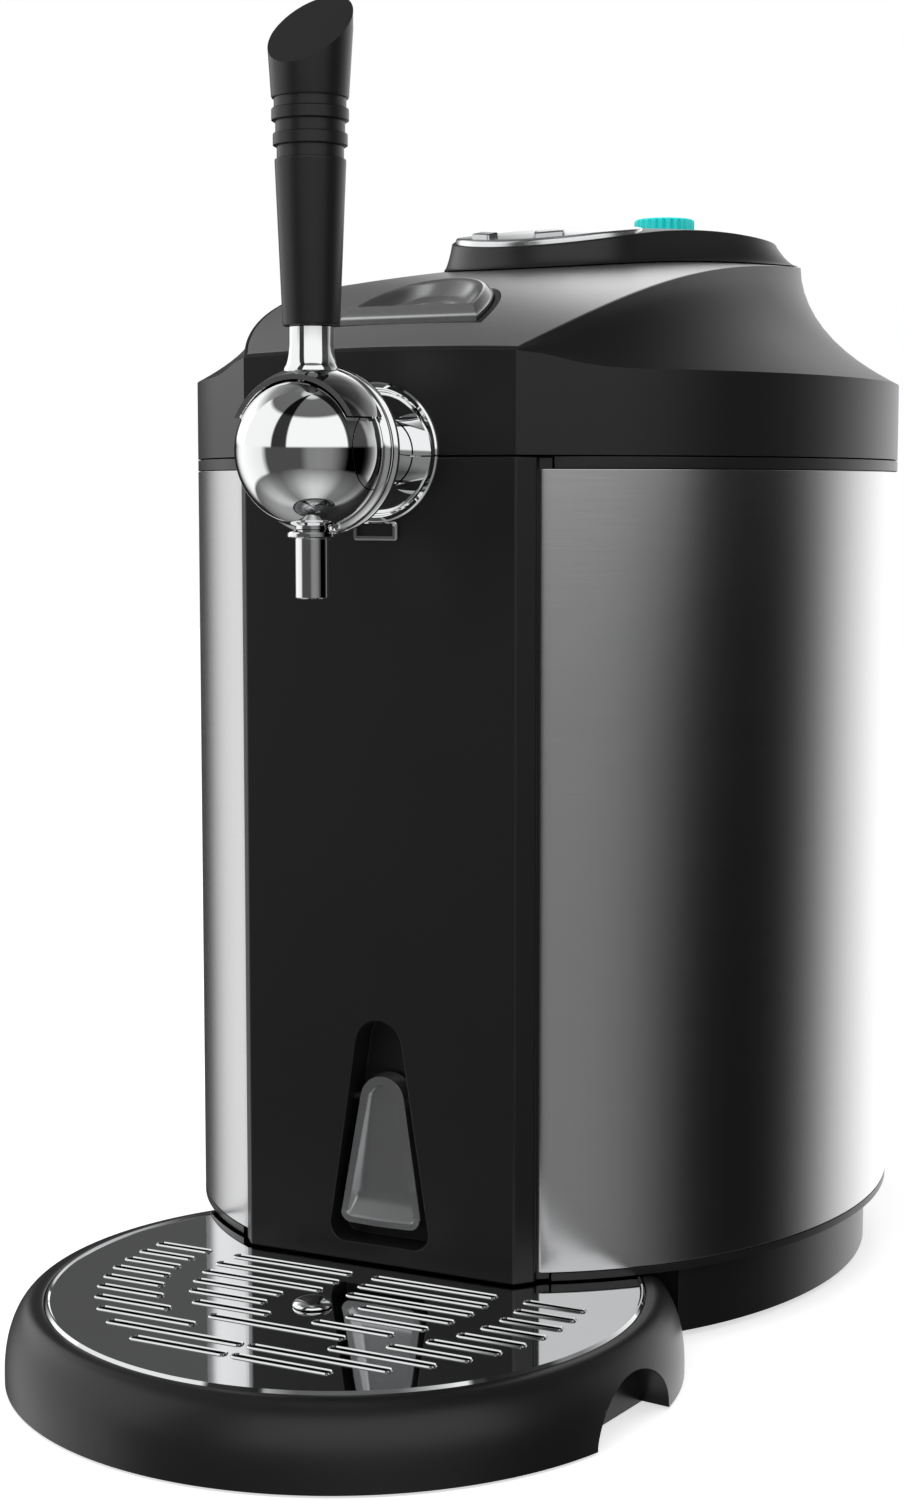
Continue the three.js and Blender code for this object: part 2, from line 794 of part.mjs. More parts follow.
// Hinge knuckles stand in threes on each side: cabinet, lid, cabinet, counted outwards
function hingeKnuckle(side, place, postLow) {
  const from = knuckleInner + place * (knuckleLength + seat);
  const to = from + knuckleLength;
  const left = side > 0 ? from : -to;
  const right = side > 0 ? to : -from;
  const barrel = turnedX(rodProfile(knuckleRadius, left, right), pinSteps, hingeY, hingeHeight);
  return barrel.add(box(left, right, hingeY - knuckleRadius, hingeY + knuckleRadius, postLow, hingeHeight));
}

function hingeBore() {
  const reach = knuckleInner + 3 * (knuckleLength + seat) + overrun;
  return turnedX(rodProfile(hingePinRadius + seat, -reach, reach), pinSteps, hingeY, hingeHeight);
}

function hingePin(side) {
  const from = knuckleInner;
  const to = knuckleInner + 3 * knuckleLength + 2 * seat;
  const ends = side > 0 ? [from, to] : [-to, -from];
  return turnedX(rodProfile(hingePinRadius, ...ends), pinSteps, hingeY, hingeHeight);
}

function grilleOutline(gap) {
  const halfWidth = grilleWidth / 2 + gap;
  const halfHeight = grilleHeight / 2 + gap;
  const corner = rearCorner / 2;
  const circles = [[-1, -1], [1, -1], [1, 1], [-1, 1]].map(([sx, sz]) => ({
    centre: new THREE.Vector2(sx * (halfWidth - corner), coolHeight + sz * (halfHeight - corner)), radius: corner }));
  return new THREE.Shape(hullLoop(circles, roundSteps));
}

function rearGrille() {
  const plate = frontPrism(grilleOutline(0), rearReach - grilleWall, rearReach);
  const pitch = grilleHeight / (louvreCount + 1);
  const halfWidth = grilleWidth / 2 - rearCorner / 2 - grilleWall;
  const slots = [];
  for (let i = 1; i <= louvreCount; i++) {
    const z = coolHeight - grilleHeight / 2 + i * pitch;
    slots.push(box(-halfWidth, -grilleWall, rearReach - grilleWall - overrun, rearReach + overrun,
      z - louvreHeight / 2, z + louvreHeight / 2));
    slots.push(box(grilleWall, halfWidth, rearReach - grilleWall - overrun, rearReach + overrun,
      z - louvreHeight / 2, z + louvreHeight / 2));
  }
  return plate.subtract(addAll(slots));
}

function powerInlet() {
  const low = inletHeight - inletTall / 2;
  const high = inletHeight + inletTall / 2;
  const back = rearReach;
  const body = box(-inletWidth / 2, inletWidth / 2, back - inletDepth, back, low, high);
  const wall = inletTall / 6;
  const socket = box(-inletWidth / 2 + wall, inletWidth / 2 - wall, back - inletDepth + wall, back + overrun,
    low + wall, high - wall);
  const pins = [-1, 1].map((side) => turnedY(rodProfile(inletPin, back - inletDepth + wall / 2, back - wall),
    arcSteps * 2, side * inletWidth / 5, inletHeight));
  return addAll([body.subtract(socket), ...pins]);
}

function circuitBoard() {
  const back = rearReach - housingWall - boardGap + boardWall;
  const low = boardHeight - boardTall / 2;
  const front = back - boardWall;
  const board = box(-boardWidth / 2, boardWidth / 2, front, back, low, low + boardTall);
  const coil = box(-3 * partSize, -partSize, front - 2 * partSize, front + seat, low + 2 * partSize, low + 4 * partSize);
  const can = turnedY(rodProfile(canRadius, front - 2 * partSize, front + seat), arcSteps * 3, partSize,
    low + 3 * partSize);
  const relay = box(2 * partSize, 3 * partSize + canRadius, front - partSize, front + seat, low + partSize,
    low + 3 * partSize);
  return addAll([board, coil, can, relay]);
}

function kegLiner() {
  const rim = bandLow - upstandHeight / 2;
  const outer = wellRadius + wellWall;
  const flange = wellRadius + wellFlange;
  const profile = [[0, wellFloor], [outer, wellFloor], [outer, rim - wellWall], [flange, rim - wellWall],
    [flange, bandLow - seat], [wellRadius, bandLow - seat], [wellRadius, wellFloor + wellWall],
    [0, wellFloor + wellWall]];
  return turnedZ(profile, wellSteps, 0, kegY);
}

function insulationFoam() {
  const low = floorTop + seat;
  const high = bandLow - upstandHeight / 2 - wellWall - seat;
  const room = steelWall + upstandWall + 4 * seat;
  const plan = new THREE.Shape(ovalPlan(room, foamFront, foamRear));
  const well = turnedZ(rodProfile(wellRadius + wellWall + seat, wellFloor - seat, high + overrun), wellSteps, 0, kegY);
  const port = box(-blockWidth / 2 - seat, blockWidth / 2 + seat, kegY + wellRadius / 2, foamRear + overrun,
    coolHeight - blockWidth / 2 - seat, coolHeight + blockWidth / 2 + seat);
  const nose = turnedY(rodProfile(nutRadius + seat, -ovalHalfDepth, shankRear + overrun), roundSteps, 0, tapHeight);
  return prism(plan, low, high).subtract(well).subtract(port).subtract(nose);
}

function lidGasket() {
  const inner = wellRadius + gasketOffset;
  const low = seamHeight - topBand / 2 + seat;
  return turnedZ(pipeProfile(inner, inner + gasketWidth, low, lidLow), wellSteps, 0, kegY);
}

// The cooling train stands in line behind the well: block, module, sink, fan
const blockBack = kegY + wellRadius + wellWall + seat + blockDepth;
const moduleBack = blockBack + seat + moduleDepth;
const sinkBack = moduleBack + seat + sinkBase + finDepth;
const fanBack = sinkBack + seat + fanDepth;

function coldBlock() {
  const half = blockWidth / 2;
  const block = box(-half, half, kegY + wellRadius / 2, blockBack, coolHeight - half, coolHeight + half);
  const well = turnedZ(rodProfile(wellRadius + wellWall + seat, wellFloor, seamHeight), wellSteps, 0, kegY);
  return block.subtract(well);
}

function coolingModule() {
  const half = moduleSize / 2;
  return box(-half, half, blockBack + seat, moduleBack, coolHeight - half, coolHeight + half);
}

function heatSink() {
  const half = sinkWidth / 2;
  const low = coolHeight - half;
  const high = coolHeight + half;
  const front = moduleBack + seat;
  const fins = [];
  for (let i = 0; i < finCount; i++) {
    const x = -half + ((sinkWidth - finWall) * i) / (finCount - 1);
    fins.push(box(x, x + finWall, front + sinkBase - seat, sinkBack, low, high));
  }
  return addAll([box(-half, half, front, front + sinkBase, low, high), ...fins]);
}

function fanFrame() {
  const half = fanSize / 2;
  const front = sinkBack + seat;
  const frame = box(-half, half, front, fanBack, coolHeight - half, coolHeight + half);
  const bore = turnedY(rodProfile(fanBore, front - overrun, fanBack + overrun), roundSteps, 0, coolHeight);
  const plate = turnedY(rodProfile(hubRadius, fanBack - strutWidth / 2, fanBack), pinSteps, 0, coolHeight);
  const struts = box(-fanBore - overrun, fanBore + overrun, fanBack - strutWidth / 2, fanBack,
    coolHeight - strutWidth / 2, coolHeight + strutWidth / 2)
    .add(box(-strutWidth / 2, strutWidth / 2, fanBack - strutWidth / 2, fanBack,
      coolHeight - fanBore - overrun, coolHeight + fanBore + overrun));
  return frame.subtract(bore).add(plate).add(struts);
}

function fanRotor() {
  const front = sinkBack + 2 * strutWidth / 3;
  const back = fanBack - strutWidth / 2 - seat;
  const hub = turnedY(rodProfile(hubRadius, front, back), pinSteps, 0, coolHeight);
  const reach = fanBore - strutWidth / 4;
  const blades = [];
  for (let i = 0; i < bladeCount; i++) {
    const blade = new THREE.BoxGeometry(reach - hubRadius / 2, bladeWall, back - front - 2 * bladeGap);
    blade.translate((reach + hubRadius / 2) / 2, 0, 0).rotateX(bladePitch).rotateX(Math.PI / 2);
    blade.rotateY((i / bladeCount) * 2 * Math.PI).translate(0, (front + back) / 2, coolHeight);
    blades.push(toSolid(blade));
  }
  return addAll([hub, ...blades]);
}

// Lever in the pocket: a tongue, thick at its foot and thin at its head, with a dish inside a raised rim
function leverOutline(rim, high) {
  const side = pocketSide(leverLow + leverFoot) - leverSideGap - leverFoot;
  const low = leverLow + leverFoot;
  return new THREE.Shape(hullLoop([
    { centre: new THREE.Vector2(-side, low), radius: leverFoot - rim },
    { centre: new THREE.Vector2(side, low), radius: leverFoot - rim },
    { centre: new THREE.Vector2(0, low + leverFoot), radius: 2 * leverFoot - rim + seat },
    { centre: new THREE.Vector2(0, high - leverHead), radius: leverHead - rim }], largeSteps));
}

function trayLever() {
  const front = -panelReach + leverInset;
  const back = -panelReach + pocketDepth - leverBackRoom;
  const pin = leverPinPlace();
  const slim = pin.y - leverPinRadius - leverInset;
  const face = new THREE.Shape([
    new THREE.Vector2(front - overrun, leverLow + leverFoot), new THREE.Vector2(front, leverLow + leverFoot),
    new THREE.Vector2(slim, leverHigh), new THREE.Vector2(front - overrun, leverHigh + overrun)]);
  const floor = new THREE.Shape([
    new THREE.Vector2(front - overrun, leverLow), new THREE.Vector2(front + leverDish, leverLow),
    new THREE.Vector2(front + leverDish, leverLow + leverFoot), new THREE.Vector2(slim + leverDishEnd, leverHigh),
    new THREE.Vector2(front - overrun, leverHigh)]);
  const block = frontPrism(leverOutline(0, leverHigh), front, back);
  const dish = frontPrism(leverOutline(leverRim, leverDishHigh), front - overrun, back)
    .intersect(sidePrism(floor, -steelEdge, steelEdge));
  const bore = turnedX(rodProfile(leverPinRadius + seat, -steelEdge, steelEdge), pinSteps, pin.y, pin.z);
  return block.subtract(sidePrism(face, -steelEdge, steelEdge)).subtract(dish).subtract(bore);
}

function leverPin() {
  const { y, z } = leverPinPlace();
  const reach = pocketSide(z) + panelWall / 2;
  return turnedX(rodProfile(leverPinRadius, -reach, reach), pinSteps, y, z);
}

// Tap: a ball on a short shank, with a flange behind the ball
function tapBall() {
  const steps = arcSteps * 3;
  const stop = Math.acos(ballCut / ballRadius);
  const profile = [[0, ballY - ballRadius]];
  for (let i = 1; i <= steps; i++) {
    const turn = Math.PI - ((Math.PI - stop) * i) / steps;
    profile.push([ballRadius * Math.sin(turn), ballY + ballRadius * Math.cos(turn)]);
  }
  const bossEnd = ballY + ballCut + seat + flangeDepth;
  profile.push([bossRadius, ballY + ballCut], [bossRadius, bossEnd], [0, bossEnd]);
  const ball = turnedY(profile, tapSteps, 0, tapHeight);
  const capFloor = Math.sqrt(ballRadius ** 2 - capRadius ** 2) - capDepth;
  const capHoles = addAll([-1, 1].map((side) => turnedX(rodProfile(capRadius + seat,
    Math.min(side * (capFloor - seat), side * (ballRadius + overrun)),
    Math.max(side * (capFloor - seat), side * (ballRadius + overrun))), roundSteps, ballY, tapHeight)));
  const pinHole = turnedX(rodProfile(pinRadius + seat, -ballRadius, ballRadius), pinSteps, ballY, tapHeight);
  const hubHole = turnedX(rodProfile(yokeHubRadius + 2 * seat, -hubHalfWidth - seat, hubHalfWidth + seat),
    roundSteps, ballY, tapHeight);
  const valveHole = turnedY(rodProfile(valveRadius + seat, ballY, ballY + ballRadius), pinSteps, 0, tapHeight);
  const outlet = turnedZ(rodProfile(spoutBore, tapHeight - ballRadius - overrun, tapHeight), pinSteps, 0, ballY);
  const spoutSeat = turnedZ(rodProfile(spoutRoot + seat, tapHeight - ballRadius - overrun, spoutTop + seat),
    roundSteps, 0, ballY);
  return ball.subtract(addAll([capHoles, pinHole, hubHole, leverSlot(), valveHole, outlet, spoutSeat]));
}

// Slot over the pivot in which the handle's blade swings forwards under the hood
function leverSlot() {
  const reach = ballRadius + overrun;
  const fan = new THREE.Shape([new THREE.Vector2(ballY + ballCut, tapHeight),
    new THREE.Vector2(ballY + ballCut, tapHeight + reach),
    new THREE.Vector2(ballY - reach * Math.tan(slotTurn), tapHeight + reach),
    new THREE.Vector2(ballY - bladeFront, tapHeight)]);
  return sidePrism(fan, -bladeHalfWidth - seat, bladeHalfWidth + seat);
}

function tapFlange() {
  const front = ballY + ballCut + seat;
  const back = front + flangeDepth;
  const bore = bossRadius + seat;
  const middle = (front + back) / 2;
  const inner = flangeRadius - flangeGroove;
  return turnedY([[bore, front], [ballRadius, front], [flangeRadius, front + flangeGroove],
    [flangeRadius, middle - flangeGroove], [inner, middle - flangeGroove / 2], [inner, middle + flangeGroove / 2],
    [flangeRadius, middle + flangeGroove], [flangeRadius, back - flangeGroove], [inner, back], [bore, back],
    [bore, front]], tapSteps, 0, tapHeight)
    .subtract(turnedZ(rodProfile(spoutCollarRadius + seat, spoutLow, spoutTop + seat), roundSteps, 0, ballY));
}

function tapShank() {
  const front = ballY + ballCut + seat + flangeDepth + seat;
  const middle = (front - panelReach) / 2;
  const valveEnd = ballY + valveStart + 2 * valveLength;
  const outer = shankRadius + shankCollar;
  return turnedY([[valveRadius + seat, front], [outer, front], [outer, front + shankCollar],
    [shankRadius, front + 2 * shankCollar], [shankRadius, middle], [outer - shankCollar / 2, middle + shankCollar / 2],
    [shankRadius, middle + shankCollar], [shankRadius, shankRear], [ductRadius, shankRear], [ductRadius, valveEnd],
    [valveRadius + seat, valveEnd], [valveRadius + seat, front]], tapSteps, 0, tapHeight);
}

function tapNut() {
  const front = -panelReach + bezelDepth + bezelWall + shankCollar + seat;
  return turnedY(pipeProfile(shankRadius + seat, nutRadius, front, front + nutDepth), nutSides, 0, tapHeight)
    .subtract(turnedY(rodProfile(shankRadius + seat, front - overrun, front + nutDepth + overrun),
      tapSteps, 0, tapHeight));
}

function tapSpout() {
  const high = spoutCollarHigh;
  const root = spoutRoot;
  const top = spoutTop;
  return turnedZ([[spoutBore, spoutLow], [spoutRadius, spoutLow], [spoutRadius, spoutCollarLow - seat],
    [spoutCollarRadius, spoutCollarLow], [spoutCollarRadius, high - 2 * seat], [root, high], [root, top],
    [spoutBore, top], [spoutBore, spoutLow]], roundSteps, 0, ballY);
}

function pivotCap(side) {
  const edge = Math.sqrt(ballRadius ** 2 - capRadius ** 2);
  const profile = [[0, edge - capDepth], [capRadius, edge - capDepth]];
  const steps = arcSteps;
  const open = Math.asin(capRadius / ballRadius);
  for (let i = steps; i >= 0; i--) {
    const turn = (open * i) / steps;
    profile.push([ballRadius * Math.sin(turn), ballRadius * Math.cos(turn)]);
  }
  const cap = lathe(profile, roundSteps).rotateZ(-side * Math.PI / 2).translate(0, ballY, tapHeight);
  const keep = box(-ballRadius - overrun, ballRadius + overrun, ballY - ballRadius, ballY + ballCut,
    tapHeight - ballRadius, tapHeight + ballRadius);
  return toSolid(cap).intersect(keep);
}

function pivotPin() {
  const reach = bossRadius - 2 * seat;
  return turnedX(rodProfile(pinRadius, -reach, reach), pinSteps, ballY, tapHeight);
}

function tapValve() {
  const from = ballY + valveStart;
  const neck = valveRadius - valveNeck;
  const middle = from + valveLength / 2;
  const to = from + valveLength;
  return turnedY([[0, from], [valveRadius, from], [valveRadius, middle - valveGroove], [neck, middle],
    [neck, middle + valveGroove], [valveRadius, middle + 2 * valveGroove], [valveRadius, to], [0, to]],
  pinSteps, 0, tapHeight);
}

// Hood over the ball that carries the handle's stem
function tapYoke() {
  const outer = ballRadius + 2 * seat + yokeWall;
  const inner = ballRadius + 2 * seat;
  const shell = new THREE.SphereGeometry(outer, tapSteps, roundSteps).translate(0, ballY, tapHeight);
  const hollow = new THREE.SphereGeometry(inner, tapSteps, roundSteps).translate(0, ballY, tapHeight);
  const stemLow = tapHeight + outer - yokeWall / 2;
  const stem = turnedZ([[0, stemLow - yokeWall / 2], [stemRadius + stemFlare, stemLow - yokeWall],
    [stemRadius + stemFlare / 3, stemLow + stemFlareHeight / 3], [stemRadius, stemLow + stemFlareHeight],
    [stemRadius, handleLow - seat], [studRadius, handleLow - seat], [studRadius, handleLow + studLength],
    [0, handleLow + studLength]], roundSteps, 0, ballY);
  const keep = box(-outer - overrun, outer + overrun, ballY - yokeFront, ballY + ballCut - seat,
    tapHeight + yokeLow, handleLow);
  const blade = box(-bladeHalfWidth, bladeHalfWidth, ballY - bladeFront, ballY + bladeRear, tapHeight, stemLow);
  const hub = turnedX(rodProfile(yokeHubRadius, -hubHalfWidth, hubHalfWidth), roundSteps, ballY, tapHeight);
  const bore = turnedX(rodProfile(pinRadius + seat, -ballRadius, ballRadius), pinSteps, ballY, tapHeight);
  const skin = toSolid(shell).intersect(keep).add(stem).subtract(toSolid(hollow)).add(blade).add(hub).subtract(bore);
  const clear = box(-outer - overrun, outer + overrun, ballY + ballCut - seat, ballY + outer,
    tapHeight + yokeHubRadius + seat, tapHeight + flangeRadius + 2 * seat);
  return skin.subtract(clear);
}

function tapHandle() {
  const neck = handleNeckRadius;
  const groove = neck - handleGrooveDepth;
  const ring = neck + handleRingStep;
  const h1 = handleNeckHeight + handleRingHeight;
  const h2 = h1 + handleRingHeight;
  const h3 = h2 + handleRingHeight;
  const h4 = h3 + handleRingHeight;
  const top = handleCutHeight + handleCutRise;
  const profile = [[0, handleLow], [handleFootRadius - seat, handleLow], [handleFootRadius, handleLow + seat],
    [neck, handleNeckHeight], [groove, handleNeckHeight + seat], [groove, h1], [ring, h1 + seat], [ring, h2],
    [groove + handleRingStep, h2 + seat], [groove + handleRingStep, h3], [ring + handleRingStep, h3 + seat],
    [ring + handleRingStep, h4], [groove + 2 * handleRingStep, h4 + seat],
    [groove + 2 * handleRingStep, handleHeadLow], [ring + 2 * handleRingStep, handleHeadLow + seat],
    [handleHeadRadius, handleCutHeight], [handleHeadRadius, top], [0, top]];
  const bar = turnedZ(profile, tapSteps, 0, ballY);
  const reach = handleHeadRadius + overrun;
  const rise = (handleCutRise * reach) / handleHeadRadius;
  const slant = new THREE.Shape([new THREE.Vector2(ballY - reach, handleCutHeight - rise),
    new THREE.Vector2(ballY + reach, handleCutHeight + rise), new THREE.Vector2(ballY - reach, handleCutHeight + 2 * rise)]);
  const bore = turnedZ(rodProfile(studRadius + seat, handleLow - overrun, handleLow + studLength + seat),
    pinSteps, 0, ballY);
  return bar.subtract(sidePrism(slant, -reach, reach)).subtract(bore);
}

// Round bezel: a rim on the panel's face and a shallow dish to the shank, parted at the lid seam
function bezelRing() {
  const face = -panelReach;
  const inner = bezelRadius - bezelRim;
  const hole = shankRadius + seat;
  return turnedY([[inner, face - bezelProud], [bezelRadius - seat, face - bezelProud], [bezelRadius, face - seat],
    [inner, face - seat], [inner - seat, face + bezelDepth - bezelWall], [inner - bezelWall, face + bezelDepth + bezelWall],
    [hole, face + bezelDepth + bezelWall], [hole, face + bezelDepth], [inner - 2 * bezelWall, face + bezelDepth],
    [inner - bezelWall, face + bezelDepth - bezelWall], [inner - bezelWall, face - seat],
    [inner, face - bezelProud]], tapSteps, 0, tapHeight);
}

function bezelUpper() {
  const reach = bezelRadius + overrun;
  return bezelRing().intersect(box(-reach, reach, -ovalHalfDepth, 0, lidLow, tapHeight + reach));
}

function bezelLower() {
  const reach = bezelRadius + overrun;
  const low = tapHeight - bezelRadius - tabHeight;
  const face = -panelReach;
  const ring = bezelRing().intersect(box(-reach, reach, -ovalHalfDepth, 0, low - overrun, seamHeight));
  const boss = turnedY(pipeProfile(shankRadius + seat, nutRadius, face + bezelDepth + bezelWall / 2,
    face + bezelDepth + bezelWall + shankCollar), roundSteps, 0, tapHeight)
    .intersect(box(-reach, reach, face, 0, low, seamHeight));
  const tab = box(-tabWidth / 2, tabWidth / 2, face - bezelProud, face - seat, low, tapHeight - bezelRadius + 2 * seat)
    .add(box(-tabWidth / 2 + tabRim + seat, tabWidth / 2 - tabRim - seat, face - bezelProud + seat, face + seat,
      low + tabRim + seat, tapHeight - bezelRadius + 2 * seat))
    .subtract(box(-tabWidth / 2 + tabRim, tabWidth / 2 - tabRim, face - bezelProud - overrun, face - bezelProud + bezelProud / 2,
      low + tabRim, tapHeight - bezelRadius - tabRim / 2));
  return ring.add(boss).add(tab);
}

// Height of the lid's silver facet: it climbs steeply from the front edge and levels out, with a slight crown
function facetSpread(y) {
  return 1 - Math.exp(-(y + panelReach) / facetRiseReach);
}

function facetHalfWidth(y) {
  if (y > facetMid) {
    const back = Math.min(1, (y - facetMid) / facetRearAxis);
    return facetMidHalfWidth * (1 - back ** facetRoundShare) ** (1 / facetRoundShare);
  }
  const bulge = 1 - Math.exp(-Math.max(0, y + panelReach) / facetBulgeReach);
  const most = 1 - Math.exp(-(facetMid + panelReach) / facetBulgeReach);
  return THREE.MathUtils.lerp(facetFrontHalfWidth, facetMidHalfWidth, bulge / most);
}

function facetHeight(x, y) {
  const crown = facetCrownFront + (facetCrown - facetCrownFront) * facetSpread(y);
  const crownWidth = facetHalfWidth(Math.min(y, facetMid));
  return facetLow + facetRise * facetSpread(y) + crown * (1 - (x / crownWidth) ** 2);
}

// Places from front to rear along the lid's side, somewhat closer together near both ends
function sideRun(front, rear) {
  const places = [front];
  const start = front + stripFall;
  for (let i = 0; i < sideSteps; i++) {
    const share = i / (sideSteps - 1);
    places.push(THREE.MathUtils.lerp(start, rear, (share + (1 - Math.cos(share * Math.PI)) / 2) / 2));
  }
  return places;
}

// Lid outline at the skirt, and the facet's outline, point for point
function skirtLoop() {
  const right = sideRun(-panelReach, lidRear).map((y) => {
    const onStrip = panelHalfWidth + ((y + panelReach) * stripRun) / stripFall;
    return new THREE.Vector2(y > stripEnd.y + seat ? ovalSide(y, ovalHalfWidth, ovalHalfDepth) : onStrip, y);
  });
  return closeLoop(right);
}

function facetLoop() {
  const right = sideRun(-panelReach + facetFrontGap, facetRear).map((y) => new THREE.Vector2(facetHalfWidth(y), y));
  return closeLoop(right);
}

// Joins a right-hand edge to its mirror image with evenly divided front and rear edges
function closeLoop(right) {
  const left = mirrored(right);
  const loop = [...right];
  for (let i = 1; i < rearSteps; i++) {
    loop.push(right.at(-1).clone().lerp(left[0], i / rearSteps));
  }
  loop.push(...left);
  for (let i = 1; i < frontSteps; i++) {
    loop.push(left.at(-1).clone().lerp(right[0], i / frontSteps));
  }
  return loop;
}

function skirtHeight(point) {
  const fall = Math.exp(-(((point.y + panelReach) / skirtFallReach) ** 2));
  const side = skirtSide + (skirtCorner - skirtSide) * fall;
  const crown = facetCrownFront * (1 - (Math.min(Math.abs(point.x), panelHalfWidth) / panelHalfWidth) ** 2);
  return point.y < stripEnd.y ? side + crown : side;
}

function atHeight(loop, height) {
  return loop.map((p) => new THREE.Vector3(p.x, p.y, height(p)));
}

// Hollow side between the skirt's edge and the facet's edge, as a share of its height
function sweptRing(low, lowHeight, high, highHeight, share) {
  const outShare = (1 - share) ** hollowShare;
  return low.map((p, i) => {
    const plan = high[i].clone().lerp(p, outShare);
    return new THREE.Vector3(plan.x, plan.y, THREE.MathUtils.lerp(lowHeight(p), highHeight(high[i]), share));
  });
}

function facetEdge(p) {
  return facetHeight(p.x, p.y);
}

function lidShell() {
  const skirt = skirtLoop();
  const facet = facetLoop();
  const skirtInner = insetLoop(skirt, lidWall);
  const lip = insetLoop(facet, lidWall / 3);
  const ledge = insetLoop(facet, plateLedge);
  const ledgeTop = (p) => facetHeight(p.x, p.y) - plateWall - seat;
  const ledgeLow = (p) => facetHeight(p.x, p.y) - plateWall - seat - lidWall;
  const innerLow = (p) => skirtHeight(p) - lidWall;
  const sweptShares = [0, 0.1, 0.25, 0.45, 0.7, 1];
  const innerShares = [1, 0.5, 0];
  const outside = sweptShares.map((share) => sweptRing(skirt, skirtHeight, facet, facetEdge, share));
  const inside = innerShares.map((share) => sweptRing(skirtInner, innerLow, ledge, ledgeLow, share));
  const rings = [atHeight(skirt, () => lidLow), ...outside, atHeight(lip, facetEdge), atHeight(lip, ledgeTop),
    atHeight(ledge, ledgeTop), ...inside, atHeight(skirtInner, () => lidLow)];
  const dish = turnedY(rodProfile(bezelRadius - bezelRim + seat, -panelReach - overrun, panelBack + overrun),
    tapSteps, 0, tapHeight);
  const knuckles = [-1, 1].map((side) => hingeKnuckle(side, 1, lidLow)
    .add(hingeArm(side)).subtract(hingeBore()));
  return addAll([ringSolid(rings, true).subtract(dish), ...knuckles]);
}

function hingeArm(side) {
  const from = knuckleInner + knuckleLength + seat;
  const to = from + knuckleLength;
  return box(side > 0 ? from : -to, side > 0 ? to : -from, lidRear - lidWall / 2, hingeY, lidLow,
    hingeHeight + knuckleRadius / 2);
}

function facetPlace(inset) {
  const rightEdge = insetLoop(facetLoop(), inset).slice(0, sideSteps + 1);
  return (across, along) => {
    const { x, y } = rightEdge[Math.round(along * sideSteps)];
    return { x: (2 * across - 1) * x, y };
  };
}

function facetSlab(above, below, inset) {
  return sheetSolid(sheetSteps, sideSteps, facetPlace(inset), (x, y) => facetHeight(x, y) + above,
    (x, y) => facetHeight(x, y) - below);
}

// Pod outline: a large circle behind and a small one in front; the lean share runs from its foot to its top
function podLoop(inset, leanShare) {
  const rear = podRearRadius - inset - podRearLean * leanShare;
  const front = podFrontRadius - inset - podFrontLean * leanShare;
  const circles = [{ centre: new THREE.Vector2(0, podRearY), radius: rear },
    { centre: new THREE.Vector2(0, podFrontY), radius: front }];
  return evenLoop(hullLoop(circles, largeSteps * 2), podSteps);
}

function lidTopPlate() {
  const podHole = prism(new THREE.Shape(podLoop(podFoot, 0)), facetLow - overrun, podPeak);
  const latchHole = prism(latchPlan(latchBorder + seat), facetLow - facetRise, podPeak);
  return facetSlab(0, plateWall, lidWall / 3 + seat).subtract(podHole).subtract(latchHole);
}

// Latch plan: straight in front, half an ellipse behind
function latchPlan(gap) {
  const points = [];
  const steps = roundSteps;
  for (let i = 0; i <= steps; i++) {
    const turn = (i / steps) * Math.PI;
    points.push(new THREE.Vector2((latchHalfWidth + gap) * Math.cos(turn),
      latchFront - gap + (latchLength + 2 * gap) * Math.sin(turn)));
  }
  return new THREE.Shape(points);
}

function latchFrame() {
  const cup = facetSlab(-latchGap, latchDepth + latchFloor, lidWall)
    .intersect(prism(latchPlan(latchBorder), facetLow - facetRise, podPeak));
  const room = facetSlab(overrun, latchDepth, lidWall)
    .intersect(prism(latchPlan(latchGap), facetLow - facetRise, podPeak));
  return cup.subtract(room);
}

// Share of the way from the middle of the latch's front edge to its rim
function latchShare(x, y) {
  return Math.hypot(x / latchHalfWidth, Math.max(0, y - latchFront) / latchLength);
}

function latchButton() {
  const place = (across, along) => {
    const s = Math.sin((across - 0.5) * Math.PI) * latchClipShare;
    return { x: s * latchHalfWidth, y: latchFront + along * latchLength * Math.sqrt(1 - s * s) };
  };
  const top = (x, y) => {
    const share = latchShare(x, y);
    const lip = latchLip * Math.exp(-(((share - latchLipShare) / latchLipSpreadShare) ** 2));
    const dish = latchDish * Math.max(0, 1 - (share / latchDishShare) ** 2);
    return facetHeight(x, y) + lip - dish;
  };
  return sheetSolid(sheetSteps, sheetSteps / 2, place, top, (x, y) => facetHeight(x, y) - latchBody);
}

// Cross bar under the latch with a hook at each end that reaches into the cabinet's top frame
function latchHooks() {
  const floorAt = facetHeight(0, hookY) - latchDepth - latchFloor - seat;
  const barHigh = floorAt - 2 * hookWall;
  const wide = hookSide + hookWidth / 2;
  const front = hookY - hookWall / 2;
  const back = hookY + hookWall / 2;
  const bar = box(-wide, wide, front, back, barHigh - hookWidth, barHigh);
  const stem = box(-hookWidth, hookWidth, front, back, barHigh - seat, floorAt - hookWall / 2);
  const hooks = [-1, 1].flatMap((side) => {
    const left = side * hookSide - hookWidth / 2;
    const right = side * hookSide + hookWidth / 2;
    return [box(left, right, front, back, hookLow, barHigh),
      box(left, right, front - hookNose, back, hookLow, hookLow + hookNose)];
  });
  return addAll([bar, stem, ...hooks]);
}

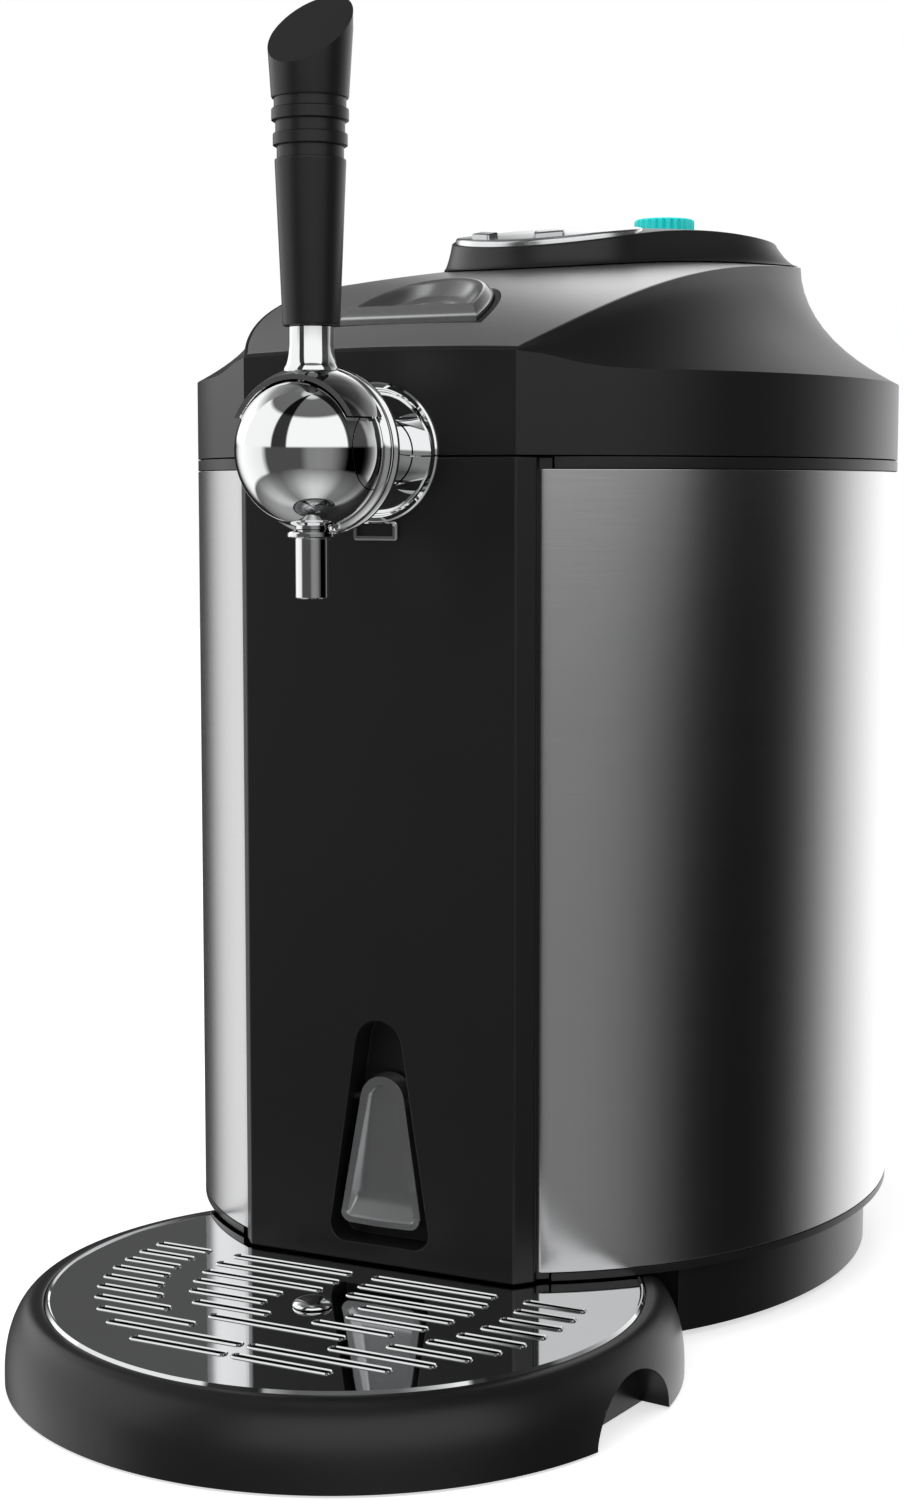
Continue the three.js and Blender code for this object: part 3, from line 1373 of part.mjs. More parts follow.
function lidLiner() {
  const plan = insetLoop(skirtLoop(), lidWall + seat);
  const inner = insetLoop(skirtLoop(), lidWall + seat + linerWall);
  const low = lidLow + seat;
  const tray = prism(new THREE.Shape(plan), low, low + linerRim)
    .subtract(prism(new THREE.Shape(inner), low + linerWall, low + linerRim + overrun));
  const nose = box(-noseRoom, noseRoom, -ovalHalfDepth, foamFront + overrun + noseRoom / 4, low - overrun,
    low + linerRim + overrun);
  const reach = hookWidth / 2 + seat;
  const hooks = addAll([-1, 1].map((side) => box(side * hookSide - reach, side * hookSide + reach,
    hookY - hookWall / 2 - seat, hookY + hookWall / 2 + seat, low - overrun, low + linerRim)));
  return tray.subtract(nose).subtract(hooks);
}

function lidFoam() {
  const low = lidLow + seat + linerWall + seat;
  const plan = ovalPlan(lidFoamInset, hookY + hookWall + seat, lidRear - lidFoamInset);
  return prism(new THREE.Shape(plan), low, foamLidHigh);
}

// Height of the control pod's domed top
function podHeight(x, y) {
  const away = y - podPeakY;
  const fall = away < 0 ? podFrontFall * (away / podFrontSpan) ** 2 : podRearFall * (away / podRearSpan) ** 2;
  return podPeak - fall - podSideFall * (x / podSideSpan) ** 2;
}

function podTopLevel(p) {
  return podHeight(p.x, p.y);
}

function controlPod() {
  const foot = (p) => facetHeight(p.x, p.y) + 2 * seat;
  const centre = new THREE.Vector2(0, podRearY / 2 + podFrontY / 2);
  const shrink = (loop, share) => loop.map((p) => centre.clone().lerp(p, share));
  const crownShares = [0.75, 0.4];
  const base = podLoop(0, 0);
  const rim = podLoop(0, 1);
  const edge = podLoop(podEdge, 1);
  const wallTop = (p) => podTopLevel(p) - podEdge;
  const wallShares = [0.12, 0.4];
  const wall = wallShares.map((share) => podLoop(0, share ** podLeanShare).map((p, i) => new THREE.Vector3(p.x, p.y,
    THREE.MathUtils.lerp(foot(base[i]), wallTop(rim[i]), share))));
  const outer = ringSolid([...crownShares.map((share) => atHeight(shrink(base, share), foot)).reverse(),
    atHeight(base, foot), ...wall, atHeight(rim, wallTop), atHeight(edge, podTopLevel),
    ...crownShares.map((share) => atHeight(shrink(edge, share), podTopLevel))], false);
  const roof = (p) => podTopLevel(p) - podWall;
  const inner = podLoop(podWall, 1);
  const hollow = ringSolid([atHeight(inner, (p) => foot(p) - overrun), atHeight(inner, roof),
    ...crownShares.map((share) => atHeight(shrink(inner, share), roof))], false);
  const plateRoom = podSlab(overrun, controlWall + seat).intersect(prism(controlPlan(seat), facetLow, podPeak + overrun));
  const knobHole = turnedZ(rodProfile(knobRadius + knobRoom, knobLow - seat, knobHigh), roundSteps, 0, knobY);
  const spindleHole = turnedZ(rodProfile(spindleRadius + seat, facetLow, knobHigh), pinSteps, 0, knobY);
  return addAll([outer.subtract(hollow), ...boardPosts()])
    .subtract(addAll([plateRoom, knobHole, spindleHole, buttonPrism(-1, seat), buttonPrism(1, seat)]));
}

function podSlab(above, below) {
  const place = (across, along) => ({ x: (2 * across - 1) * podRearRadius,
    y: THREE.MathUtils.lerp(podFrontY - podFrontRadius, podRearY + podRearRadius, along) });
  return sheetSolid(sheetSteps, sheetSteps * 2, place, (x, y) => podHeight(x, y) + above,
    (x, y) => podHeight(x, y) - below);
}

// Control plate plan: it follows the pod's front edge and closes behind in half an ellipse
function controlPlan(gap) {
  const radius = podFrontRadius - podFrontLean - controlInset + gap;
  const halfWidth = radius * Math.cos(controlTurn);
  const middle = podFrontY - radius * Math.sin(controlTurn);
  const points = [];
  for (let i = 0; i < roundSteps; i++) {
    const turn = (i / roundSteps) * Math.PI;
    points.push(new THREE.Vector2(halfWidth * Math.cos(turn), middle + (controlDepth + gap) * Math.sin(turn)));
  }
  for (let i = 0; i < roundSteps; i++) {
    const turn = Math.PI + controlTurn + (i / roundSteps) * (Math.PI - 2 * controlTurn);
    points.push(new THREE.Vector2(radius * Math.cos(turn), podFrontY + radius * Math.sin(turn)));
  }
  return new THREE.Shape(points);
}

function controlPlate() {
  const plate = podSlab(controlProud, controlWall).intersect(prism(controlPlan(0), facetLow, podPeak + overrun));
  return plate.subtract(addAll([buttonPrism(-1, seat), buttonPrism(1, seat)]));
}

// Place on an arc round the middle of the pod's front circle
function buttonPlace(side, reach) {
  const turn = side > 0 ? rightButtonTurn : leftButtonTurn;
  return { turn, x: reach * Math.sin(turn), y: podFrontY - reach * Math.cos(turn) };
}

function buttonPrism(side, gap) {
  const { turn, x, y } = buttonPlace(side, buttonArc);
  const low = podHeight(x, y) - podWall - buttonRoom;
  const tall = podPeak + overrun - low;
  const key = new THREE.BoxGeometry(buttonWidth + 2 * gap, buttonDepth + 2 * gap, tall);
  return toSolid(key.rotateZ(turn).translate(x, y, low + tall / 2));
}

function controlButton(side) {
  return podSlab(controlProud + buttonProud, buttonBody).intersect(buttonPrism(side, 0));
}

// The round control board hangs from four posts under the pod's roof
const panelBoardHigh = podHeight(0, podFrontY - controlBoardRadius) - podWall - 2 * seat;

function boardPosts() {
  const places = [[-1, 0], [1, 0], [0, -1], [0, 1]]
    .map(([across, along]) => new THREE.Vector2(across, along).multiplyScalar(controlPostReach));
  return places.map((p) => turnedZ(rodProfile(postRadius, panelBoardHigh + seat,
    podHeight(p.x, podFrontY + p.y) - podWall / 2), arcSteps * 2, p.x, podFrontY + p.y));
}

function controlBoard() {
  const board = turnedZ(rodProfile(controlBoardRadius, panelBoardHigh - boardWall, panelBoardHigh), wellSteps,
    0, podFrontY);
  const switches = [-1, 1].map((side) => {
    const { x, y } = buttonPlace(side, buttonArc - switchInset);
    const high = podHeight(x, y) - buttonBody - buttonTravel - 4 * seat;
    return turnedZ(rodProfile(switchRadius, panelBoardHigh - seat, high), pinSteps, x, y);
  });
  return addAll([board, ...switches]);
}

function pressureKnob() {
  const points = [];
  const steps = knobFlutes * 3;
  for (let i = 0; i < steps; i++) {
    const turn = (i / steps) * 2 * Math.PI;
    const radius = knobRadius - fluteDepth * (0.5 - 0.5 * Math.cos(turn * knobFlutes));
    points.push(new THREE.Vector2(radius * Math.cos(turn), knobY + radius * Math.sin(turn)));
  }
  const spindle = turnedZ(rodProfile(spindleRadius, knobLow - spindleLength, knobLow + seat), pinSteps, 0, knobY);
  return prism(new THREE.Shape(points), knobLow, knobHigh).add(spindle);
}

function dialSocket() {
  const high = podHeight(0, knobY + socketRadius) - podWall - seat;
  const body = turnedZ(rodProfile(socketRadius, high - socketHeight, high), pinSteps, 0, knobY);
  return body.subtract(turnedZ(rodProfile(spindleRadius + seat, knobLow - spindleLength - seat, knobHigh),
    pinSteps, 0, knobY));
}

// Round drip tray: a convex outer skirt, a ledge for the plate and a basin
function traySkirtPoints(inset) {
  const points = [];
  const rise = trayRim - trayLow - traySkirt;
  const run = trayRadius - trayRimRadius;
  for (let i = 0; i <= arcSteps; i++) {
    const turn = (i / arcSteps) * Math.PI / 2;
    const height = trayLow + traySkirt + (rise - inset) * Math.sin(turn);
    points.push([trayRimRadius - inset + run * Math.cos(turn), height]);
  }
  return points;
}

function trayNotch(side, gap) {
  const steps = pinSteps;
  const points = [];
  for (let i = 0; i <= steps; i++) {
    const turn = (i / steps) * Math.PI;
    points.push(new THREE.Vector2((notchHalfWidth + gap) * Math.cos(turn), (notchHeight + gap) * Math.sin(turn)));
  }
  const deep = trayRadius - notchDepth - gap;
  const settings = { depth: trayRadius + overrun - deep, bevelEnabled: false };
  const cutter = new THREE.ExtrudeGeometry(new THREE.Shape(points), settings);
  cutter.rotateX(Math.PI / 2).translate(0, -deep, 0);
  const turn = (Math.PI / 2 - notchTurnShare * Math.PI) * side;
  cutter.rotateZ(turn).translate(0, trayY, 0);
  return toSolid(cutter);
}

function dripTray() {
  const wellEdge = plateRadius + seat;
  const basin = wellEdge - trayLedge;
  const ledge = plateLow - seat;
  const outer = turnedZ([[0, trayLow], [trayRadius, trayLow], ...traySkirtPoints(0), [wellEdge, trayRim],
    [wellEdge, ledge], [basin, ledge], [basin, trayFloor + trayWall], [0, trayFloor + trayWall]],
  largeSteps, 0, trayY);
  const hollow = turnedZ([[basin + trayWall, trayLow - overrun], [trayRadius - trayWall, trayLow - overrun],
    ...traySkirtPoints(trayWall).slice(0, -1), [basin + trayWall, trayRim - 2 * trayWall],
    [basin + trayWall, trayLow - overrun]], largeSteps, 0, trayY);
  const under = turnedZ(rodProfile(basin, trayLow - overrun, trayFloor), largeSteps, 0, trayY);
  const liners = [-1, 1].map((side) => trayNotch(side, trayWall).intersect(outer));
  return addAll([outer.subtract(hollow).subtract(under), ...liners])
    .subtract(addAll([-1, 1].map((side) => trayNotch(side, 0))));
}

// Slots of the drip plate, row by row: an inner and an outer run on each side, clear of the lift knob
function slotRuns(row) {
  const y = slotFirst - slotPitch * row;
  const reach = (radius) => Math.sqrt(Math.max(0, radius ** 2 - y ** 2));
  const cap = slotWidth / 2;
  const dome = Math.sqrt(Math.max(0, domeRoom ** 2 - (y - domeOffset) ** 2));
  const start = Math.max(slotLand, dome > 0 ? dome : 0);
  const runs = [[start, reach(slotInner) - cap], [reach(slotInner + slotBand) + cap, reach(slotOuter)]]
    .filter(([from, to]) => to - from > slotShortest);
  const short = reach(slotInner) > 0 && reach(slotInner) < slotLongest / 2;
  const whole = short && runs.length > 0 && runs[0][0] === slotLand;
  return { y, runs, whole };
}

function slotShape(x0, x1, y) {
  const half = slotWidth / 2;
  const circles = [{ centre: new THREE.Vector2(x0 + half, y), radius: half },
    { centre: new THREE.Vector2(x1 - half, y), radius: half }];
  return new THREE.Shape(hullLoop(circles, arcSteps * 2 - 2));
}

function dripPlate() {
  const slots = [];
  for (let row = 0; row < slotRows; row++) {
    const { y, runs, whole } = slotRuns(row);
    runs.forEach(([from, to], place) => {
      if (whole && place === 0) {
        slots.push(slotShape(-to, to, trayY + y));
        return;
      }
      slots.push(slotShape(from, to, trayY + y), slotShape(-to, -from, trayY + y));
    });
  }
  const cutters = slots.map((shape) => prism(shape, plateLow - overrun, plateTop + overrun));
  const lip = seat * 2;
  const plate = turnedZ([[0, plateLow], [plateRadius - lip, plateLow], [plateRadius, plateLow + lip],
    [plateRadius, plateTop - lip], [plateRadius - lip, plateTop], [0, plateTop]], largeSteps, 0, trayY);
  const gap = plateBodyGap;
  const oval = prism(new THREE.Shape(ovalPlan(-gap, -panelReach - gap, 0)), plateLow - overrun, plateTop + overrun);
  const right = [new THREE.Vector2(panelHalfWidth + gap / 2, -panelReach - gap),
    new THREE.Vector2(stripEnd.x + gap, stripEnd.y - gap / 2), new THREE.Vector2(stripEnd.x + gap, foamFront)];
  const nose = prism(new THREE.Shape([...right, ...mirrored(right)]), plateLow - overrun, plateTop + overrun);
  const cabinet = oval.add(nose);
  const stud = turnedZ(rodProfile(pinRadius + seat, plateLow - overrun, plateTop + overrun), pinSteps,
    0, trayY + domeOffset);
  return plate.subtract(cabinet).subtract(addAll(cutters)).subtract(stud);
}

function liftKnob() {
  const low = plateTop + seat;
  const points = [[0, plateLow], [pinRadius, plateLow], [pinRadius, low], [domeRadius, low]];
  for (let i = 1; i <= arcSteps; i++) {
    const turn = (i / arcSteps) * Math.PI / 2;
    points.push([domeRadius * Math.cos(turn), low + domeHeight * Math.sin(turn)]);
  }
  points[points.length - 1][0] = 0;
  return turnedZ(points, roundSteps, 0, trayY + domeOffset);
}

// Finishes
const blackPlastic = { color: 0x222222, roughness: 0.5, metalness: 0 };
const softBlack = { color: 0x1a1a1a, roughness: 0.7, metalness: 0 };
const steelFinish = { color: 0xb8bac0, roughness: 0.3, metalness: 1 };
const chrome = { color: 0xd8dade, roughness: 0.08, metalness: 1 };
const satinSilver = { color: 0xa8abb0, roughness: 0.4, metalness: 0.8 };
const greySatin = { color: 0x5f6062, roughness: 0.4, metalness: 0.3 };
const aluminium = { color: 0xc4c7cb, roughness: 0.45, metalness: 0.9 };
const foamFinish = { color: 0xe8e2d0, roughness: 0.95, metalness: 0 };
const rubber = { color: 0x151515, roughness: 0.9, metalness: 0 };
const turquoise = { color: 0x17c3b6, roughness: 0.25, metalness: 0 };
const boardGreen = { color: 0x1c6b3c, roughness: 0.6, metalness: 0 };
const ceramic = { color: 0xf0f0ee, roughness: 0.6, metalness: 0 };

function piece(name, solid, finish) {
  const mesh = new THREE.Mesh(toGeometry(solid), new THREE.MeshStandardMaterial(finish));
  mesh.name = name;
  return mesh;
}

function gather(pieces) {
  const group = new THREE.Group();
  group.add(...pieces);
  return group;
}

const cabinet = gather([
  piece('front_panel', frontPanel(), blackPlastic),
  piece('side_panel_left', sidePanel(-1), steelFinish),
  piece('side_panel_right', sidePanel(1), steelFinish),
  piece('top_frame', topFrame(), blackPlastic),
  piece('bottom_frame', bottomFrame(), blackPlastic),
  piece('plinth', plinth(), blackPlastic),
  piece('base_plate', basePlate(), softBlack),
  piece('foot_front_left', foot(-footSide, footFront), rubber),
  piece('foot_front_right', foot(footSide, footFront), rubber),
  piece('foot_rear_left', foot(-footRearSide, footRear), rubber),
  piece('foot_rear_right', foot(footRearSide, footRear), rubber),
  piece('rear_housing', rearHousing(), blackPlastic),
  piece('rear_grille', rearGrille(), softBlack),
  piece('power_inlet', powerInlet(), softBlack),
  piece('circuit_board', circuitBoard(), boardGreen),
  piece('keg_liner', kegLiner(), aluminium),
  piece('insulation_foam', insulationFoam(), foamFinish),
  piece('lid_gasket', lidGasket(), rubber),
  piece('cold_block', coldBlock(), aluminium),
  piece('cooling_module', coolingModule(), ceramic),
  piece('heat_sink', heatSink(), aluminium),
  piece('fan_frame', fanFrame(), softBlack),
  piece('lever_pin', leverPin(), steelFinish),
  piece('hinge_pin_left', hingePin(-1), steelFinish),
  piece('hinge_pin_right', hingePin(1), steelFinish),
]);

const tap = gather([
  piece('tap_ball', tapBall(), chrome),
  piece('tap_flange', tapFlange(), chrome),
  piece('tap_shank', tapShank(), chrome),
  piece('tap_nut', tapNut(), chrome),
  piece('tap_spout', tapSpout(), chrome),
  piece('tap_valve', tapValve(), steelFinish),
  piece('bezel_lower', bezelLower(), chrome),
]);

const handle = gather([
  piece('tap_yoke', tapYoke(), chrome),
  piece('pivot_cap_left', pivotCap(-1), chrome),
  piece('pivot_cap_right', pivotCap(1), chrome),
  piece('pivot_pin', pivotPin(), steelFinish),
  piece('tap_handle', tapHandle(), softBlack),
]);

const lid = gather([
  piece('lid_shell', lidShell(), blackPlastic),
  piece('lid_top_plate', lidTopPlate(), satinSilver),
  piece('lid_liner', lidLiner(), softBlack),
  piece('lid_foam', lidFoam(), foamFinish),
  piece('bezel_upper', bezelUpper(), chrome),
  piece('latch_frame', latchFrame(), blackPlastic),
  piece('latch_hooks', latchHooks(), softBlack),
  piece('latch_button', latchButton(), greySatin),
  piece('control_pod', controlPod(), blackPlastic),
  piece('control_plate', controlPlate(), chrome),
  piece('control_board', controlBoard(), boardGreen),
  piece('button_left', controlButton(-1), chrome),
  piece('button_right', controlButton(1), chrome),
  piece('dial_socket', dialSocket(), softBlack),
  piece('pressure_knob', pressureKnob(), turquoise),
]);

const tray = gather([
  piece('tray_lever', trayLever(), greySatin),
  piece('drip_tray', dripTray(), blackPlastic),
  piece('drip_plate', dripPlate(), chrome),
  piece('lift_knob', liftKnob(), chrome),
]);

const fan = gather([piece('fan_rotor', fanRotor(), softBlack)]);

const dispenser = new THREE.Group();
dispenser.add(cabinet, tap, handle, lid, tray, fan);
dispenser.position.y = originShift;

export default dispenser;
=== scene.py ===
# %% [markdown]
# # A mini keg beer dispenser, dressed piece by piece
# The object is a cooled cabinet for a small beer keg. It has a chrome tap with a black
# handle, a hinged lid, and a round drip tray in front. The packed model gives every
# solid at its real size. This script loads it as a fixed frame and then builds a finer
# mesh or a better finish for each piece that can be seen.

# %% Load the packed model
import json
import math

import bpy
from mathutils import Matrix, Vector


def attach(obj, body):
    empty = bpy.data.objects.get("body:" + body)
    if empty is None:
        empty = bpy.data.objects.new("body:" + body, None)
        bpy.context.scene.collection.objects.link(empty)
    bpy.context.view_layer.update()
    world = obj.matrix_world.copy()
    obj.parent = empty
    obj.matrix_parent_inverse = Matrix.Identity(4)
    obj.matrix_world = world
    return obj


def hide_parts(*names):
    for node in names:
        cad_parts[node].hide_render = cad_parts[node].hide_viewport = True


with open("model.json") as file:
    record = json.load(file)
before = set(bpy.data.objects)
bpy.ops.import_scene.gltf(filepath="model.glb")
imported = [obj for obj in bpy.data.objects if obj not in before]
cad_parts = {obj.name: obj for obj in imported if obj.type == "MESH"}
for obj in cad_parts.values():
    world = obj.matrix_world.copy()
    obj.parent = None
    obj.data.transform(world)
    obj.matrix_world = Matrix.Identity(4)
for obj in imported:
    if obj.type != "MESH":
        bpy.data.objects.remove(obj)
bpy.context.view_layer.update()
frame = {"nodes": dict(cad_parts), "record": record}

nodes = frame["nodes"]

# %% [markdown]
# ## Camera
# The photograph was taken from the front right, a little below the lid, with a normal
# lens held almost level. Its place was found by fitting the tray's ellipse, the upright
# edges and the lid's seam, so the render lies over the photograph without any shift.

# %% Camera
CENTRE_Y = 67.6


def at(x, y, z):
    """A place given in millimetres from the cabinet's upright axis, in scene metres."""
    return Vector((x / 1000, (y + CENTRE_Y) / 1000, z / 1000))


camera_data = bpy.data.cameras.new("camera")
camera_data.lens = 59.29
camera_data.sensor_width = 36
camera = bpy.data.objects.new("camera", camera_data)
camera.location = at(417.7, -931.2, 310.6)
camera.rotation_euler = (math.radians(84.067), 0, math.radians(26.466))
bpy.context.scene.collection.objects.link(camera)
bpy.context.scene.camera = camera
bpy.context.scene.view_settings.view_transform = "Standard"
print("camera at", tuple(round(v, 4) for v in camera.location))

# %% [markdown]
# ## Shader sums as plain Python
# A shader graph is a sum written with boxes. `Wire` wraps one output, so that a formula
# such as `1 - mask * 0.4` adds the Math nodes by itself. Every other kind of node comes
# from one method that takes its type, its settings and what its sockets are fed.

# %% Wire


class Wire:
    """One value in a shader graph that can be added, multiplied and so on."""

    def __init__(self, graph, socket):
        self.graph = graph
        self.socket = socket

    def _math(self, operation, *values):
        feeds = dict(enumerate(values))
        return self.graph.node("ShaderNodeMath", {"operation": operation}, feeds)[0]

    def __add__(self, other):
        return self._math("ADD", self, other)

    __radd__ = __add__

    def __sub__(self, other):
        return self._math("SUBTRACT", self, other)

    def __rsub__(self, other):
        return self._math("SUBTRACT", other, self)

    def __mul__(self, other):
        return self._math("MULTIPLY", self, other)

    __rmul__ = __mul__

    def __truediv__(self, other):
        return self._math("DIVIDE", self, other)

    def clamped(self):
        return self.graph.node("ShaderNodeClamp", {}, {"Value": self})[0]

    def ramp(self, *stops):
        """A grey for each stop, from (place, value) pairs."""
        return self.graph.ramp(self, stops)


print("wires can be added, subtracted, multiplied, divided and ramped")

# %% [markdown]
# `Graph` holds the nodes of one material or of the world. Settings such as a Math node's
# operation are set before anything is linked, because they can change the sockets.

# %% Graph


class Graph:
    """The nodes of one material or of the world."""

    def __init__(self, tree):
        self.tree = tree
        tree.nodes.clear()

    def node(self, kind, settings=None, feeds=None):
        made = self.tree.nodes.new(kind)
        for name, value in (settings or {}).items():
            setattr(made, name, value)
        for name, value in (feeds or {}).items():
            self.feed(made.inputs[name], value)
        return [Wire(self, output) for output in made.outputs]

    def feed(self, socket, value):
        if isinstance(value, Wire):
            self.tree.links.new(value.socket, socket)
        elif isinstance(value, tuple) and len(value) == 3 and len(socket.default_value) == 4:
            socket.default_value = (*value, 1)
        else:
            socket.default_value = value

    def ramp(self, wire, stops):
        made = self.tree.nodes.new("ShaderNodeValToRGB")
        self.feed(made.inputs[0], wire)
        points = made.color_ramp.elements
        while len(points) < len(stops):
            points.new(0.5)
        for point, (place, value) in zip(points, stops):
            point.position = place
            point.color = (value, value, value, 1)
        return Wire(self, made.outputs[0])

    def place(self):
        """Object coordinates, in metres of the part's own frame."""
        return self.node("ShaderNodeTexCoord")[3]

    def axes(self, vector):
        return self.node("ShaderNodeSeparateXYZ", {}, {0: vector})

    def stretched(self, vector, scale):
        return self.node("ShaderNodeMapping", {}, {"Vector": vector, "Scale": scale})[0]

    def noise(self, vector, scale, detail=2.0, roughness=0.5):
        feeds = {"Vector": vector, "Scale": scale, "Detail": detail, "Roughness": roughness}
        return self.node("ShaderNodeTexNoise", {}, feeds)[0]

    def mix(self, share, first, second):
        made = self.tree.nodes.new("ShaderNodeMix")
        made.data_type = "RGBA"
        self.feed(made.inputs[0], share)
        self.feed(made.inputs[6], first)
        self.feed(made.inputs[7], second)
        return Wire(self, made.outputs[2])

    def bump(self, height, strength, distance):
        feeds = {"Height": height, "Strength": strength, "Distance": distance}
        return self.node("ShaderNodeBump", {}, feeds)[0]


print("node helpers:", [name for name in vars(Graph) if not name.startswith("_")])

# %% [markdown]
# Every finish is one Principled shader. A small function builds what feeds it, so that
# two finishes of one kind differ only by the numbers that are passed in.

# %% One finish


def finish_of(name, build, metallic=0.0):
    """A principled material; `build` gives its colour, its gloss and any other sockets."""
    material = bpy.data.materials.new(name)
    material.use_nodes = True
    graph = Graph(material.node_tree)
    colour, gloss, others = build(graph)
    feeds = {"Base Color": colour, "Roughness": gloss, "Metallic": metallic, **others}
    shader = graph.node("ShaderNodeBsdfPrincipled", {}, feeds)[0]
    graph.node("ShaderNodeOutputMaterial", {}, {"Surface": shader})
    return material


print("shader helpers ready")

# %% [markdown]
# ## Light
# A product like this is photographed in a white room with soft boxes and dark cards.
# The diffuse light is even. What the metal mirrors is drawn into the world as a map of the
# room: below the horizon soft bands, which give the steel its gradient, and above it hard
# white panels with dark cards between them, which give the chrome its contrast. A turn of
# 0 degrees is straight in front of the cabinet, 90 to its right and 180 behind it.

# %% What stands round the cabinet
# Each list holds (turn in degrees, brightness) pairs.
SOFT_BANDS = [
    (-180, 1.0), (-158, 0.9), (-150, 0.2), (-142, 0.0), (-124, 0.02), (-117, 0.3), (-108, 0.64),
    (-97, 0.75), (-52, 0.6), (-42, 0.05), (12, 0.05), (24, 0.155), (40, 0.17), (58, 0.15),
    (68, 0.1), (76, 0.045), (85, 0.0), (112, 0.0), (119, 0.01), (126, 0.06), (133, 0.2),
    (140, 0.43), (148, 0.68), (156, 0.86), (164, 1.0), (180, 1.0)]
HARD_PANELS = [
    (-180, 1.0), (-41, 0.97), (-35, 0.95), (-33, 0.035), (-10, 0.035), (-8, 1.0), (83, 1.0),
    (85, 0.05), (118, 0.05), (124, 0.3), (140, 0.52), (158, 0.72), (170, 1.0), (180, 1.0)]
DARK_CARD = [(-155, 0.0), (-151, 0.93), (-127, 0.93), (-123, 0.0)]
REAR_SHADE = [(-180, 0.7), (-168, 0.5), (-160, 0.0), (120, 0.0), (132, 0.7), (180, 0.7)]
GROUND = [
    (-180, 0.3), (-94, 0.35), (-76, 0.55), (-60, 0.5), (-44, 0.3), (-27, 0.2), (-9, 0.32),
    (9, 0.52), (28, 0.65), (48, 0.63), (67, 0.46), (85, 0.2), (118, 0.16), (134, 0.3),
    (180, 0.3)]
print("bands in the room:", len(SOFT_BANDS), "soft and", len(HARD_PANELS), "hard")

# %% [markdown]
# The map could be a painted picture, but a few sums keep it sharp and easy to change. The
# bearing of a ray picks a brightness from each list, its climb dims or lifts it, and near
# the horizon the lower map blends into the upper one. Only mirrors see this room. The
# camera sees plain white, and all soft light comes from one even grey and two lamps.

# %% World
ROOM_GREY = (0.62, 0.62, 0.62)
BAND_GAIN = 1.45
world = bpy.data.worlds.new("studio")
bpy.context.scene.world = world
world.use_nodes = True
room = Graph(world.node_tree)
east, north, up = room.axes(room.node("ShaderNodeTexCoord")[0])
bearing = room.node("ShaderNodeMath", {"operation": "ARCTAN2"}, {0: east, 1: north * -1})[0]
turn = bearing / (2 * math.pi) + 0.5


def around(places):
    """Brightness by the turn; straight in front is the middle of the ramp."""
    return turn.ramp(*[(0.5 + degrees / 360, bright) for degrees, bright in places])


behind = north.ramp((0.0, 0.0), (0.02, 1.0))
front_climb = up.ramp((0.0, 1.0), (0.72, 1.0), (0.77, 0.14), (0.98, 0.15), (0.99, 0.6), (1.0, 0.7))
rear_climb = up.ramp((0.0, 1.2), (0.26, 1.35), (0.42, 1.35), (0.55, 0.9), (0.7, 0.32),
                     (0.92, 0.14), (0.98, 0.2), (0.99, 0.6), (1.0, 0.7))
climb = front_climb * (1 - behind) + rear_climb * behind
card = around(DARK_CARD) * up.ramp((0.0, 1.0), (0.45, 1.0), (0.75, 0.6))
shade = around(REAR_SHADE) * up.ramp((0.22, 0.0), (0.5, 1.0))
above = around(HARD_PANELS) * (1 - card) * (1 - shade) * climb
depth = (up * -1).clamped()
deep = depth.ramp((0.43, 0.0), (0.48, 1.0))
ground_light = around(GROUND) * depth.ramp((0.45, 0.3), (0.7, 0.8), (0.82, 1.0))
below = around(SOFT_BANDS) * BAND_GAIN * (1 - deep) + ground_light * deep
share = up.ramp((0.05, 0.0), (0.1, 1.0))
mirrored_room = below * (1 - share) + above * share
rays = room.node("ShaderNodeLightPath")
for_camera, for_mirrors = rays[0], rays[3]
lit = room.mix(for_mirrors, ROOM_GREY, mirrored_room)
seen = room.mix(for_camera, lit, (1, 1, 1))
background = room.node("ShaderNodeBackground", {}, {"Color": seen, "Strength": 1.0})[0]
room.node("ShaderNodeOutputWorld", {}, {"Surface": background})
print("world nodes:", len(world.node_tree.nodes))

# %% [markdown]
# Two large soft boxes model the form, one overhead and one at the front left. They are
# hidden from mirrors, because the room above already gives every reflection.

# %% Lamps


def softbox(name, place, aim, width, height, power):
    data = bpy.data.lights.new(name, "AREA")
    data.shape = "RECTANGLE"
    data.size = width
    data.size_y = height
    data.energy = power
    lamp = bpy.data.objects.new(name, data)
    lamp.location = place
    lamp.rotation_euler = (Vector(aim) - Vector(place)).to_track_quat("-Z", "Y").to_euler()
    lamp.visible_glossy = False
    bpy.context.scene.collection.objects.link(lamp)
    return lamp


softbox("overhead", (0.1, -0.2, 1.6), (0, 0, 0.2), 1.4, 1.4, 8)
softbox("front_left", (-1.1, -1.3, 0.9), (0, 0, 0.25), 0.9, 1.2, 7)
print("lamps set")

# %% [markdown]
# The floor is pale and keeps the object's soft shadow. It glows a little for the camera
# alone, so that it meets the white background with no edge.

